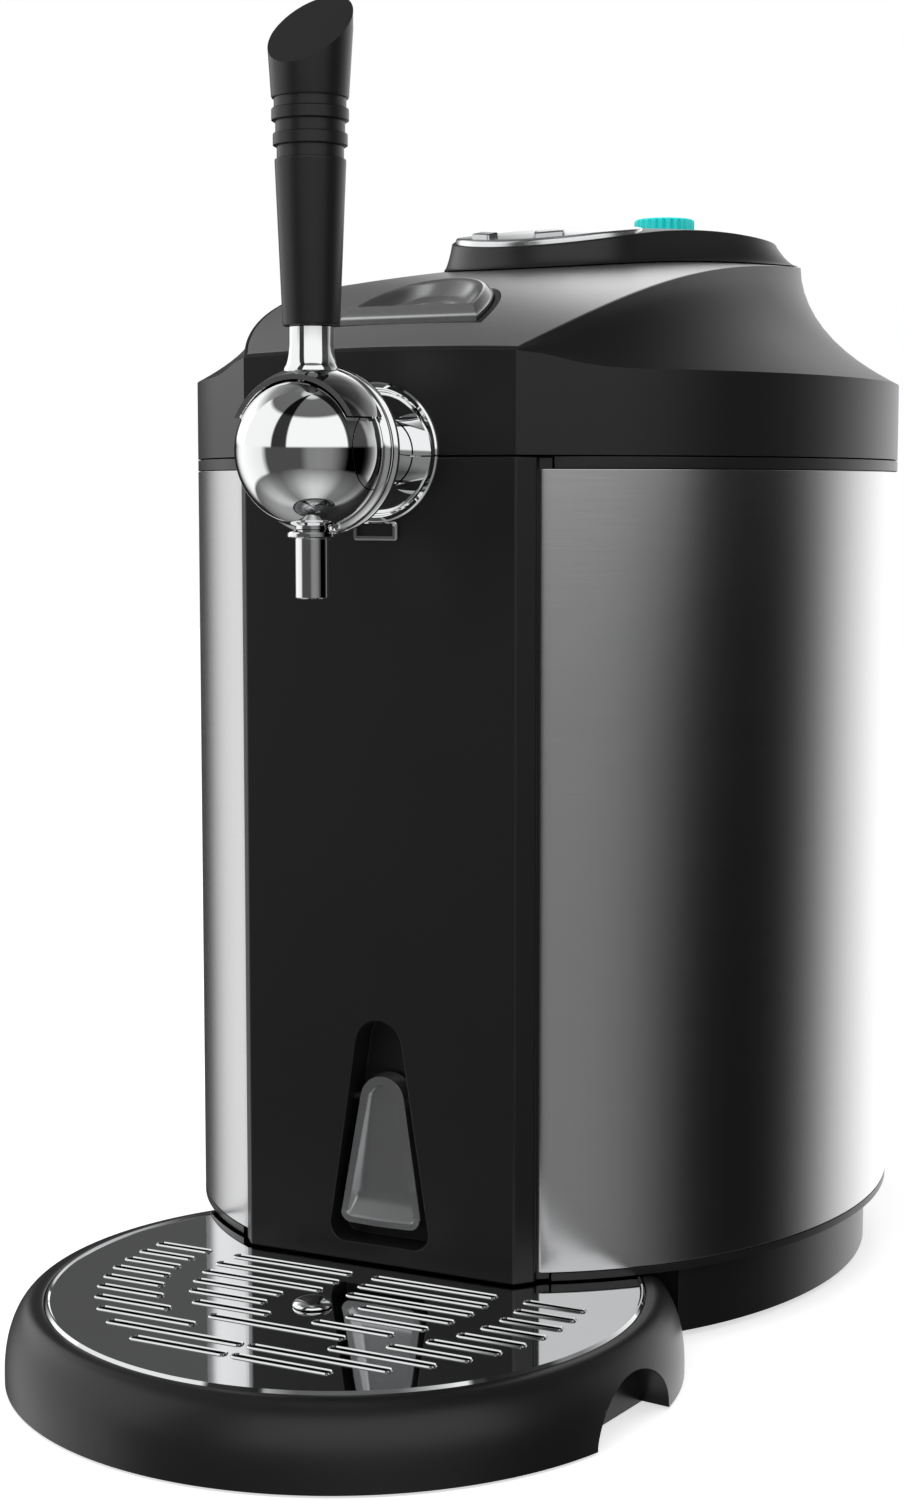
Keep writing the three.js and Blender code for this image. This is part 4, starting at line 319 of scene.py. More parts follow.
# %% Floor
FLOOR_GLOW = 0.62
bpy.ops.mesh.primitive_plane_add(size=8, location=(0, 0, -0.0005))
floor = bpy.context.active_object
floor.name = "floor"
floor.visible_glossy = False
ground = bpy.data.materials.new("floor_white")
ground.use_nodes = True
ground_graph = Graph(ground.node_tree)
grain = ground_graph.noise(ground_graph.place(), 30, 2)
pale = ground_graph.mix(grain, (0.78, 0.78, 0.78), (0.8, 0.8, 0.8))
matt = ground_graph.node("ShaderNodeBsdfDiffuse", {}, {"Color": pale})[0]
camera_only = ground_graph.node("ShaderNodeLightPath")[0]
shine = {"Color": (1, 1, 1), "Strength": camera_only * FLOOR_GLOW}
glow = ground_graph.node("ShaderNodeEmission", {}, shine)[0]
both = ground_graph.node("ShaderNodeAddShader", {}, {0: matt, 1: glow})[0]
ground_graph.node("ShaderNodeOutputMaterial", {}, {"Surface": both})
floor.data.materials.append(ground)
print("floor is", tuple(round(v, 2) for v in floor.dimensions[:2]), "m")

# %% [markdown]
# ## Finishes
# The cabinet is smooth black plastic with a slight sheen, the sides are brushed steel
# and the tap is mirror chrome. Each finish has a little unevenness in its gloss or its
# surface, because a perfectly even one looks like a drawing.

# %% Plastics


def shaded(tone, factor):
    return tuple(c * factor for c in tone)


def moulded(tone, gloss, grain=0.06):
    """Plastic, rubber or foam: a cloudy tone and a fine moulded grain."""
    def build(graph):
        place = graph.place()
        cloud = graph.noise(place, 9, 3)
        speck = graph.noise(place, 2600, 2)
        colour = graph.mix(cloud, shaded(tone, 0.9), shaded(tone, 1.1))
        return colour, cloud * 0.06 + (gloss - 0.03), {"Normal": graph.bump(speck, grain, 0.00004)}
    return build


black_plastic = finish_of("black_plastic", moulded((0.0095, 0.0095, 0.0098), 0.34))
soft_black = finish_of("soft_black", moulded((0.014, 0.014, 0.0145), 0.52, 0.3))
grey_satin = finish_of("grey_satin", moulded((0.62, 0.625, 0.63), 0.2), 0.95)
print("plastics:", black_plastic.name, soft_black.name, grey_satin.name)

# %% [markdown]
# Mirror chrome is even and almost free of roughness. Brushed steel has hairlines, which
# are a noise that is squeezed 80 times in height, so that it runs round the cabinet. The
# same hairs change the tone, the gloss and, through a faint bump, the reflection.

# %% Metals


def polished(tone, gloss):
    def build(graph):
        cloud = graph.noise(graph.place(), 40, 2)
        colour = graph.mix(cloud, shaded(tone, 0.97), tone)
        return colour, cloud * 0.012 + gloss, {}
    return build


def brushed(tone, gloss):
    def build(graph):
        hair = graph.noise(graph.stretched(graph.place(), (40, 40, 3200)), 1.0, 4, 0.6)
        cloud = graph.noise(graph.place(), 6, 2)
        colour = graph.mix(hair, shaded(tone, 0.93), shaded(tone, 1.05))
        gloss_here = hair * 0.06 + cloud * 0.03 + gloss
        return colour, gloss_here, {"Normal": graph.bump(hair, 0.08, 0.00003)}
    return build


chrome = finish_of("chrome", polished((0.93, 0.935, 0.94), 0.012), 1.0)
stainless = finish_of("stainless", brushed((0.65, 0.65, 0.655), 0.19), 1.0)
satin_silver = finish_of("satin_silver", brushed((0.78, 0.78, 0.79), 0.26), 1.0)
aluminium = finish_of("aluminium", brushed((0.7, 0.71, 0.72), 0.35), 1.0)
rubber = finish_of("rubber", moulded((0.012, 0.012, 0.012), 0.75, 0.5))
foam = finish_of("foam", moulded((0.72, 0.7, 0.62), 0.9, 0.8))
board_green = finish_of("board_green", moulded((0.015, 0.13, 0.05), 0.4))
ceramic = finish_of("ceramic", moulded((0.82, 0.82, 0.8), 0.5))
turquoise = finish_of("turquoise", moulded((0.02, 0.93, 0.91), 0.1))
key_grey = finish_of("key_grey", polished((0.6, 0.61, 0.62), 0.14), 1.0)
handle_black = finish_of("handle_black", moulded((0.009, 0.009, 0.0095), 0.36))
plate_chrome = finish_of("plate_chrome", polished((0.8, 0.81, 0.82), 0.03), 1.0)
plate_satin = finish_of("plate_satin", polished((0.84, 0.85, 0.86), 0.24), 1.0)
FINISHES = {
    "black_plastic": black_plastic, "soft_black": soft_black, "grey_satin": grey_satin,
    "chrome": chrome, "chromed_plastic": chrome, "stainless": stainless,
    "satin_silver": satin_silver, "aluminium": aluminium, "rubber": rubber, "foam": foam,
    "board_green": board_green, "ceramic": ceramic, "turquoise": turquoise}
print("finishes:", len(FINISHES))

# %% [markdown]
# ## Tools for shaping
# Most pieces are outlines that were extruded or half sections that were spun. The
# outlines are plain lists of places in millimetres, so that two pieces that fit together
# can share one list.

# %% Outlines
import bmesh


def evenly(first, last, count):
    return [first + (last - first) * i / (count - 1) for i in range(count)]


def arc(radius, start, stop, count, x=0.0, y=0.0):
    """Places on an arc, its angles in degrees."""
    turns = [math.radians(v) for v in evenly(start, stop, count)]
    return [(x + radius * math.cos(t), y + radius * math.sin(t)) for t in turns]


def mirrored(points):
    return [(-x, y) for x, y in reversed(points)]


def around_circles(circles, count):
    """Outline of a belt round several circles (x, y, radius)."""
    points = []
    for turn in [2 * math.pi * i / count for i in range(count)]:
        way = (math.cos(turn), math.sin(turn))
        x, y, radius = max(circles, key=lambda c: way[0] * c[0] + way[1] * c[1] + c[2])
        points.append((x + radius * way[0], y + radius * way[1]))
    return points


def spaced(outline, count):
    """The same closed outline with evenly spaced places."""
    closed = outline + outline[:1]
    lengths = [math.dist(a, b) for a, b in zip(closed, closed[1:])]
    step = sum(lengths) / count
    points, edge, passed = [], 0, 0.0
    for i in range(count):
        while passed + lengths[edge] < step * i - 1e-9:
            passed += lengths[edge]
            edge += 1
        share = (step * i - passed) / lengths[edge] if lengths[edge] else 0
        (ax, ay), (bx, by) = closed[edge], closed[edge + 1]
        points.append((ax + (bx - ax) * share, ay + (by - ay) * share))
    return points


def inset(outline, distance):
    """Every edge of an anticlockwise outline moved inwards by one distance."""
    points = []
    for i, (x, y) in enumerate(outline):
        before, after = Vector(outline[i - 1]), Vector(outline[(i + 1) % len(outline)])
        a, b = (Vector((x, y)) - before).normalized(), (after - Vector((x, y))).normalized()
        inward = Vector((-a.y - b.y, a.x + b.x)).normalized()
        spread = inward.dot(Vector((-b.y, b.x)))
        points.append((x + inward.x * distance / spread, y + inward.y * distance / spread))
    return points


print("outline of two circles:", len(around_circles([(0, 0, 5), (10, 0, 3)], 48)), "places")

# %% [markdown]
# A ring of points is extruded from one outline to the next, which is how a hand modeller
# builds a skirt or a pod: extrude the rim, then move and scale the new rim. Here the new
# rim is put straight at its own places, so a curved side needs no sculpting.

# %% Select and move in edit mode


def start_fresh():
    if bpy.context.mode != "OBJECT":
        bpy.ops.object.mode_set(mode="OBJECT")
    bpy.ops.object.select_all(action="DESELECT")


def only_these(piece, numbers):
    """Select just these points of the mesh that is being edited."""
    bpy.ops.mesh.select_mode(type="VERT")
    bpy.ops.mesh.select_all(action="DESELECT")
    mesh = bmesh.from_edit_mesh(piece.data)
    mesh.verts.ensure_lookup_table()
    for number in numbers:
        mesh.verts[number].select = True
    mesh.select_flush_mode()
    bmesh.update_edit_mesh(piece.data)


def moved_ring(piece, numbers, places):
    """Put the points that grew out of a ring at their own places."""
    mesh = bmesh.from_edit_mesh(piece.data)
    mesh.verts.ensure_lookup_table()
    grown = []
    for number, place in zip(numbers, places):
        corner = mesh.verts[number]
        new = next(e.other_vert(corner) for e in corner.link_edges if e.other_vert(corner).select)
        new.co = place
        grown.append(new.index)
    bmesh.update_edit_mesh(piece.data)
    return grown


def tidy_skin():
    bpy.ops.mesh.select_all(action="SELECT")
    bpy.ops.mesh.remove_doubles(threshold=0.000002)
    bpy.ops.mesh.normals_make_consistent(inside=False)
    bpy.ops.object.mode_set(mode="OBJECT")


print("edit mode helpers ready")

# %% [markdown]
# The first ring is a circle primitive whose points are put on the outline. Each further
# ring is extruded from the one before. At the end the doubles are merged and the normals
# are turned outwards, because a ring may have been drawn from above or from below.

# %% Extrude from ring to ring


def drawn_up(name, rings, low="fill", high="fill"):
    """A skin through rings of places; an end is a face, a pole or left open."""
    start_fresh()
    bpy.ops.mesh.primitive_circle_add(vertices=len(rings[0]), radius=0.1)
    piece = bpy.context.active_object
    piece.name = piece.data.name = name
    bpy.ops.object.mode_set(mode="EDIT")
    mesh = bmesh.from_edit_mesh(piece.data)
    for corner, place in zip(mesh.verts, rings[0]):
        corner.co = place
    bmesh.update_edit_mesh(piece.data)
    first = ring = list(range(len(rings[0])))
    for places in rings[1:]:
        only_these(piece, ring)
        bpy.ops.mesh.extrude_edges_move()
        ring = moved_ring(piece, ring, places)
    for end, numbers in ((low, first), (high, ring)):
        if end == "fill":
            only_these(piece, numbers)
            bpy.ops.mesh.edge_face_add()
    for end, numbers in ((high, ring), (low, first)):
        if end == "pole":
            only_these(piece, numbers)
            bpy.ops.mesh.merge(type="CENTER")
    tidy_skin()
    return piece


print("skins can be drawn up")

# %% [markdown]
# Three common forms need just a few rings: a prism along any axis, a block, and a domed
# form whose upper edge is rounded by a few extra rings.

# %% Prism, block and dome
PLACE = {"Z": lambda a, b, h: at(a, b, h), "Y": lambda a, b, h: at(a, h, b),
         "X": lambda a, b, h: at(h, a, b)}
WAY = {"Z": (0, 0, 1), "Y": (0, 1, 0), "X": (1, 0, 0)}


def prism(name, outline, low, high, axis="Z"):
    """A flat outline carried along one axis: plan, front view or side view."""
    return drawn_up(name, [[PLACE[axis](a, b, h) for a, b in outline] for h in (low, high)])


def block(name, x0, x1, y0, y1, z0, z1):
    return prism(name, [(x0, y0), (x1, y0), (x1, y1), (x0, y1)], z0, z1)


def domed(name, outline, low, high, edge=0.0, steps=5):
    """A closed form between two curved heights; its upper edge is rounded by `edge`."""
    centre = 0.02
    cx = sum(x for x, _ in outline) / len(outline)
    cy = sum(y for _, y in outline) / len(outline)

    def ring(points, height, share=1.0):
        spots = [(cx + (x - cx) * share, cy + (y - cy) * share) for x, y in points]
        return [at(x, y, height(x, y)) for x, y in spots]

    shares = [i / steps for i in range(1, steps)]
    rings = [ring(outline, low, s) for s in [centre] + shares] + [ring(outline, low)]
    if edge:
        for turn in (0, 30, 60, 90):
            a = math.radians(turn)
            fine = inset(outline, edge * (1 - math.cos(a)))
            rings.append(ring(fine, lambda x, y: high(x, y) - edge * (1 - math.sin(a))))
        top = inset(outline, edge)
    else:
        rings.append(ring(outline, high))
        top = outline
    rings += [ring(top, high, s) for s in shares[::-1] + [centre]]
    return drawn_up(name, rings, "pole", "pole")


print("ring tools ready")

# %% [markdown]
# Turned parts start as one point that is extruded along the half section. Spinning that
# line once round its axis gives the part, as on a lathe.

# %% Spin a half section


def spun(name, profile, a=0.0, b=0.0, axis="Z", steps=96):
    """Profile of (radius, place on the axis); a and b are where the axis stands."""
    spot = PLACE[axis]
    start_fresh()
    bpy.ops.mesh.primitive_plane_add(size=0.01)
    piece = bpy.context.active_object
    piece.name = piece.data.name = name
    bpy.ops.object.mode_set(mode="EDIT")
    bpy.ops.mesh.merge(type="CENTER")
    for step, (radius, height) in enumerate(profile):
        if step:
            bpy.ops.mesh.extrude_region_move()
        mesh = bmesh.from_edit_mesh(piece.data)
        for corner in mesh.verts:
            if corner.select:
                corner.co = spot(a + radius, b, height)
        bmesh.update_edit_mesh(piece.data)
    bpy.ops.mesh.select_all(action="SELECT")
    bpy.ops.mesh.spin(steps=steps, angle=2 * math.pi, center=spot(a, b, 0), axis=WAY[axis])
    tidy_skin()
    return piece


def rod(name, radius, low, high, a=0.0, b=0.0, axis="Z", steps=64):
    return spun(name, [(0, low), (radius, low), (radius, high), (0, high)], a, b, axis, steps)


def sheet(name, columns, rows, place, top, bottom):
    """A grid laid over a patch of the plan, then extruded down to its underside."""
    start_fresh()
    bpy.ops.mesh.primitive_grid_add(x_subdivisions=columns, y_subdivisions=rows, size=2)
    piece = bpy.context.active_object
    piece.name = piece.data.name = name
    bpy.ops.object.mode_set(mode="EDIT")
    bpy.ops.mesh.select_all(action="SELECT")
    for height in (top, bottom):
        mesh = bmesh.from_edit_mesh(piece.data)
        for corner in mesh.verts:
            if not corner.select:
                continue
            if height is top:
                x, y = place((corner.co.x + 1) / 2, (corner.co.y + 1) / 2)
            else:
                x, y = corner.co.x * 1000, corner.co.y * 1000 - CENTRE_Y
            corner.co = at(x, y, height(x, y))
        bmesh.update_edit_mesh(piece.data)
        if height is top:
            bpy.ops.mesh.extrude_region_move()
    tidy_skin()
    return piece


print("lathe and sheet ready")

# %% [markdown]
# Openings are cut with Boolean modifiers and edges are softened with Bevel modifiers,
# both applied at once. Each finished piece then gets its finish, takes the place of its
# CAD node and rides on that node's body.

# %% Cut, join, soften and finish


def combined(piece, others, operation):
    """One Boolean after the other; the tools are used up."""
    for other in others:
        start_fresh()
        bpy.context.view_layer.objects.active = piece
        modifier = piece.modifiers.new("cut", "BOOLEAN")
        modifier.operation = operation
        modifier.solver = "EXACT"
        modifier.object = other
        bpy.ops.object.modifier_apply(modifier="cut")
        bpy.data.objects.remove(other)
    return piece


def less(piece, *others):
    return combined(piece, others, "DIFFERENCE")


def plus(piece, *others):
    return combined(piece, others, "UNION")


def shared(piece, *others):
    return combined(piece, others, "INTERSECT")


def softened(piece, width, segments=2, angle=35):
    start_fresh()
    bpy.context.view_layer.objects.active = piece
    modifier = piece.modifiers.new("soft_edges", "BEVEL")
    modifier.width = width / 1000
    modifier.segments = segments
    modifier.limit_method = "ANGLE"
    modifier.angle_limit = math.radians(angle)
    bpy.ops.object.modifier_apply(modifier="soft_edges")
    return piece


bodies = frame["record"]["behaviour"]["bodies"]
body_of = {node: body for body, held in bodies.items() for node in held}
slot_of = {entry["node"]: entry["material_slot"] for entry in frame["record"]["subparts"]}
SMOOTH_BELOW = math.radians(32)


def finished(piece, finish, *stand_for):
    """Smooth the shading, give the finish and take the place of the CAD nodes."""
    start_fresh()
    piece.select_set(True)
    bpy.context.view_layer.objects.active = piece
    bpy.ops.object.shade_smooth_by_angle(angle=SMOOTH_BELOW)
    weighted = piece.modifiers.new("flat_stays_flat", "WEIGHTED_NORMAL")
    weighted.keep_sharp = True
    bpy.ops.object.modifier_apply(modifier="flat_stays_flat")
    piece.data.materials.clear()
    piece.data.materials.append(finish)
    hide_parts(*stand_for)
    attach(piece, body_of[stand_for[0]])
    print(piece.name, "faces:", len(piece.data.polygons))
    return piece


print("bodies known:", sorted(set(body_of.values())))

# %% [markdown]
# ## Cabinet
# The plan is an oval, 275 mm wide and 321 mm deep. A flat front panel stands proud of it,
# with a chamfered strip at each side and a dark channel where the steel begins. All the
# round pieces of the cabinet come from this one oval, each with its own inset.

# %% The oval plan
SEAT = 0.3
FACE = -152.497
SEAM = 323.4
HALF_WIDTH = 137.5
HALF_DEPTH = 160.3
PANEL_HALF = 54.6
CHAMFER = 6.5
TAP = 324.9
WELL_Y = -35
LEVER_PIN = (FACE + 6.8, 89.3)


def oval_side(y):
    return HALF_WIDTH * math.sqrt(max(0.0, 1 - (y / HALF_DEPTH) ** 2))


def oval_edge(inset, front, rear, count=84):
    width, depth = HALF_WIDTH - inset, HALF_DEPTH - inset
    turns = evenly(math.asin(front / depth), math.asin(min(1, rear / depth)), count)
    return [(width * math.cos(t), depth * math.sin(t)) for t in turns]


def oval_plan(inset, front, rear):
    right = oval_edge(inset, front, rear)
    return right + mirrored(right)


def copied(piece, name, scale=(1, 1, 1), shift=(0, 0, 0)):
    """A copy with its own mesh, mirrored or moved in edit mode."""
    start_fresh()
    piece.select_set(True)
    bpy.context.view_layer.objects.active = piece
    bpy.ops.object.duplicate()
    twin = bpy.context.active_object
    twin.name = twin.data.name = name
    bpy.ops.object.mode_set(mode="EDIT")
    bpy.ops.mesh.select_all(action="SELECT")
    bpy.ops.transform.resize(value=scale, center_override=(0, 0, 0))
    bpy.ops.transform.translate(value=[v / 1000 for v in shift])
    tidy_skin()
    return twin


print("oval:", 2 * HALF_WIDTH, "by", 2 * HALF_DEPTH, "mm")

# %% [markdown]
# Each side is a steel sheet of 0.8 mm that follows the oval. It could be a plane with a
# Solidify modifier. Here its inner and outer lines are drawn, so that it meets the frames
# exactly, and the left one is a mirrored copy of the right one.

# %% Steel sides
STEEL_START = 61.4
SHEET = 0.8
REAR_LINE = 112
steel_front = -HALF_DEPTH * math.sqrt(1 - (STEEL_START / HALF_WIDTH) ** 2)
outer = oval_edge(0, steel_front, REAR_LINE)
inner = oval_edge(SHEET, steel_front, REAR_LINE)
steel = prism("steel_right", outer + inner[::-1], 31.8, 319.0)
softened(steel, 0.22, 2)
steel_left = copied(steel, "steel_left", (-1, 1, 1))
finished(steel, stainless, "side_panel_right")
finished(steel_left, stainless, "side_panel_left")

# %% [markdown]
# The front panel is a moulding with a wall of 2.5 mm. A line through its outer corners is
# thickened inwards, and the pocket for the grey lever is a boss with a hollow in it. The
# Bevel modifier rounds the lines where the flat face meets the strips and the pocket.

# %% Front panel
WALL = 2.5
PANEL_LINE = [(PANEL_HALF, FACE), (60.0, FACE + CHAMFER), (59.17, FACE + 8.7), (63.8, -140.59)]


def thickened(line, wall):
    """An open line made into a closed outline by a second line to its left."""
    back = []
    for i, point in enumerate(line):
        before = Vector(point) - Vector(line[max(0, i - 1)])
        after = Vector(line[min(len(line) - 1, i + 1)]) - Vector(point)
        way = (before.normalized() + after.normalized()).normalized()
        edge = (after if i < len(line) - 1 else before).normalized()
        left = Vector((-way.y, way.x))
        back.append(tuple(Vector(point) + left * (wall / left.dot(Vector((-edge.y, edge.x))))))
    return list(line) + back[::-1]


def pocket(grow):
    circles = [(-14.2, 42, 6 + grow), (14.2, 42, 6 + grow), (0, 110.1, 9.5 + grow)]
    return around_circles(circles, 120)


panel = prism("panel_face", thickened(mirrored(PANEL_LINE) + PANEL_LINE, WALL), 28.6, SEAM)
softened(panel, 0.8, 4, 30)
plus(panel, prism("boss", pocket(WALL), FACE + 2.2, FACE + 14.5, "Y"))
less(panel, prism("hollow", pocket(0), FACE - 3, FACE + 12, "Y"),
     rod("pin_way", 1.8, -15.9, 15.9, *LEVER_PIN, "X", 24),
     rod("tap_way", 22.8, FACE - 3, FACE + 5.5, 0, TAP, "Y"))
softened(panel, 0.55, 3, 50)
finished(panel, black_plastic, "front_panel")

# %% [markdown]
# The two frames close the cabinet above and below the steel. Each is a flat band with an
# upstand that the steel slips over. The upper one has the mouth of the keg well, the
# groove of the gasket and two slots for the lid's hooks.

# %% Top and bottom frames


def panel_room(name, low, high):
    return block(name, -64.4, 64.4, -164, -137.2, low, high)


def ring_of(name, inner, outer, low, high, a=0.0, b=0.0, axis="Z"):
    section = [(inner, low), (outer, low), (outer, high), (inner, high), (inner, low)]
    return spun(name, section, a, b, axis, 128)


top_frame = prism("top_band", oval_plan(0, FACE + SEAT, 152), 319.3, SEAM)
plus(top_frame, prism("upstand", oval_plan(1.4, FACE + SEAT, 111.7), 313.8, 319.6))
less(top_frame, prism("inside", oval_plan(4.4, FACE + SEAT, 108.7), 310, 319.3),
     rod("mouth", 90, 316, 327, 0, WELL_Y, "Z", 144),
     ring_of("groove", 93.7, 98.3, 321.35, 327, 0, WELL_Y),
     rod("nose", 17.3, -160, -134, 0, TAP, "Y"), panel_room("panel_room_top", 310, 327),
     block("slot_left", -50.5, -37.5, -132.5, -121.5, 316, 327),
     block("slot_right", 37.5, 50.5, -132.5, -121.5, 316, 327))
softened(top_frame, 0.3, 2)
finished(top_frame, black_plastic, "top_frame")

bottom_frame = prism("bottom_band", oval_plan(0, FACE + SEAT, 111.7), 28.6, 31.5)
plus(bottom_frame, prism("upstand", oval_plan(1.4, FACE + SEAT, 111.7), 31.2, 37.0))
less(bottom_frame, prism("inside", oval_plan(4.4, FACE + SEAT, 108.7), 31.5, 40),
     panel_room("panel_room_low", 25, 40))
softened(bottom_frame, 0.3, 2)
finished(bottom_frame, black_plastic, "bottom_frame")

# %% [markdown]
# The plinth is set back under the cabinet, so that the body seems to float in a shadow.
# It is hollowed at the front for the round tray. Four rubber feet carry it.

# %% Plinth and feet


def plinth_form(name, inset, low, high):
    depth, width, front, rear = 151.8 - inset, 129 - inset, -117.5, 111.7 - inset
    turns = evenly(math.asin(front / depth), math.asin(rear / depth), 84)
    right = [(width * math.cos(t), depth * math.sin(t)) for t in turns]
    form = prism(name, right + mirrored(right), low, high)
    tray_room = rod("tray_room", 124.2 + inset, low - 3, high + 3, 0, -177.2, "Z", 160)
    return less(form, tray_room)


plinth = less(plinth_form("plinth_wall", 0, 1.8, 28), plinth_form("plinth_hollow", 3, -2, 25))
softened(plinth, 0.4, 2)
finished(plinth, black_plastic, "plinth")

FOOT = [(0, 0), (7.9, 0), (8.6, 0.3), (9, 1.0), (9, 1.5), (0, 1.5)]
SHIFTS = {"foot_front_left": (-184, 0, 0), "foot_rear_right": (-18.4, 130, 0),
          "foot_rear_left": (-165.6, 130, 0)}
foot = spun("foot_pad", FOOT, 92, -40, "Z", 64)
for name, shift in SHIFTS.items():
    other = copied(foot, "pad_" + name, shift=shift)
    finished(other, rubber, name)
finished(foot, rubber, "foot_front_right")

# %% [markdown]
# The rear housing is a deep box with rounded corners for the fan and the electronics. It
# carries a louvred grille, the power inlet and the fixed knuckles of the lid's hinge.

# %% Rear housing
HOUSING_HALF = 98.07
HOUSING_REAR = 163
CORNER = 12
GRILLE_Z = 190
HINGE_Y, HINGE_Z = 157, 326


def housing_plan(inset):
    corner = arc(CORNER - inset, 0, 90, 12, HOUSING_HALF - CORNER, HOUSING_REAR - CORNER)
    right = [(HOUSING_HALF - inset, REAR_LINE)] + corner
    return right + mirrored(right)


def grille_shape(grow):
    x, z, r = 52 + grow - 6, 56 + grow - 6, 6
    low, high = GRILLE_Z - z, GRILLE_Z + z
    return around_circles([(-x, low, r), (x, low, r), (x, high, r), (-x, high, r)], 96)


def hinge_bore(x0, x1):
    return rod("bore", 2.3, x0 - 3, x1 + 3, HINGE_Y, HINGE_Z, "X", 32)


def knuckle(name, side, place, low):
    """One barrel of the hinge with its post; the three of a side stand 0.3 mm apart."""
    from_x = 12 + place * 10.3
    x0, x1 = sorted((side * from_x, side * (from_x + 10)))
    barrel = rod(name, 4.4, x0, x1, HINGE_Y, HINGE_Z, "X", 48)
    plus(barrel, block("post", x0, x1, HINGE_Y - 4.4, HINGE_Y + 4.4, low, HINGE_Z))
    return less(barrel, hinge_bore(x0, x1))


housing = prism("housing_box", housing_plan(0), 1.8, 319.0)
less(housing, prism("room", housing_plan(WALL), 4.3, 316.5),
     block("open_front", -95.5, 95.5, 109, 115, 7.3, 316.5),
     prism("window", grille_shape(SEAT), 157, 166, "Y"),
     block("inlet_hole", -13.8, 13.8, 157, 166, 31.7, 52.3))
softened(housing, 0.5, 3)
for side in (-1, 1):
    for place in (0, 2):
        plus(housing, knuckle("knuckle", side, place, 318.7))
finished(housing, black_plastic, "rear_housing")

# %% [markdown]
# The grille is a plate with nine rows of round-ended slots, two in each row. The inlet is
# a plain shell with two round contacts, since the photograph doesn't show it.

# %% Grille and inlet
grille = prism("grille_plate", grille_shape(0), 160.8, HOUSING_REAR, "Y")
cutters = []
for row in range(1, 10):
    z = GRILLE_Z - 56 + row * 11.2
    for x0, x1 in ((-43.8, -2.2), (2.2, 43.8)):
        line = around_circles([(x0 + 2.5, z, 2.5), (x1 - 2.5, z, 2.5)], 24)
        cutters.append(prism("slot", line, 158, 166, "Y"))
less(grille, *cutters)
softened(grille, 0.45, 3)
finished(grille, soft_black, "rear_grille")

inlet = block("inlet_shell", -13.5, 13.5, 145, 163, 32, 52)
less(inlet, block("socket", -10.17, 10.17, 148.33, 166, 35.33, 48.67))
softened(inlet, 0.6, 3)
for side in (-1, 1):
    plus(inlet, rod("contact", 1.3, 146.7, 159.7, side * 5.4, 42, "Y", 24))
finished(inlet, soft_black, "power_inlet")

# %% [markdown]
# With the lid open the aluminium well for the keg shows, and round its mouth the gasket.

# %% Keg well and gasket
bowl = arc(4, 270, 360, 6, 86, 50.5)
wall = [(0, 45), (88, 45), (90.6, 46.2), (91.5, 48.5), (91.5, 317.5), (97, 317.5), (97, 319.0),
        (90.8, 319.0), (90, 318.2)]
well = wall + bowl[::-1] + [(0, 46.5)]
finished(spun("well", well, 0, WELL_Y, "Z", 144), aluminium, "keg_liner")
seal = [(94, 321.65), (98, 321.65), (98, 322.9), (97, 323.8), (96, 323.9), (95, 323.8),
        (94, 322.9), (94, 321.65)]
finished(spun("seal", seal, 0, WELL_Y, "Z", 144), rubber, "lid_gasket")

# %% [markdown]
# ## Lid
# The lid's outline at the seam follows the cabinet. Above the seam a hollow, concave side
# sweeps in to the silver facet, which is narrower and climbs to the rear. The two
# outlines have the same number of places, so each ring between them is a blend.

# %% Lid outlines and heights
LID_LOW = 323.9
LID_REAR = 152.0
SIDE_STEPS = 60
FACET_FRONT_HALF = 54.3
FACET_HALF = 82.5
WIDEST_Y = 20


def facet_half_width(y):
    if y > WIDEST_Y:
        return FACET_HALF * (1 - min(1, (y - WIDEST_Y) / 130) ** 2.5) ** 0.4
    bulge = (1 - math.exp(-max(0, y - FACE) / 48)) / (1 - math.exp(-(WIDEST_Y - FACE) / 48))
    return FACET_FRONT_HALF + (FACET_HALF - FACET_FRONT_HALF) * bulge


def facet_height(x, y):
    """The facet climbs to the rear, fast at first, and is slightly crowned."""
    spread = 1 - math.exp(-(y - FACE) / 96)
    crown = (1.1 + 4.4 * spread) * (1 - (x / facet_half_width(min(y, WIDEST_Y))) ** 2)
    return 360 + 49 * spread + crown


def side_places(front, rear):
    """Places along a side, closer together at both ends."""
    places = [front]
    for i in range(SIDE_STEPS):
        share = i / (SIDE_STEPS - 1)
        eased = (share + (1 - math.cos(share * math.pi)) / 2) / 2
        places.append(front + CHAMFER + (rear - front - CHAMFER) * eased)
    return places


def closed_outline(right):
    left = mirrored(right)
    across = [i / 10 for i in range(1, 10)]
    rear = [(right[-1][0] * (1 - 2 * s), right[-1][1]) for s in across]
    front = [(left[-1][0] * (1 - 2 * s), left[-1][1]) for s in across]
    return right + rear + left + front


def skirt_x(y):
    """The side is straight from the front corner to where it meets the oval."""
    meets = -130
    if y > meets:
        return oval_side(y)
    return PANEL_HALF + (oval_side(meets) - PANEL_HALF) * (y - FACE) / (meets - FACE)


def skirt_height(x, y):
    side = 353.8 + 5.8 * math.exp(-((y - FACE) / 14.5) ** 2)
    if y >= FACE + CHAMFER:
        return side
    return side + 1.1 * (1 - (min(abs(x), PANEL_HALF) / PANEL_HALF) ** 2)


skirt = closed_outline([(skirt_x(y), y) for y in side_places(FACE, LID_REAR)])
facet = closed_outline([(facet_half_width(y), y) for y in side_places(FACE + 1.2, LID_REAR - 4)])
print("outline places:", len(skirt), len(facet))

# %% [markdown]
# The hollow side is steep at the foot and flat near the facet: the plan runs in with the
# power 1.85 of the share that is left. That single number was fitted to the photograph.

# %% Lid rings
HOLLOW = 1.85


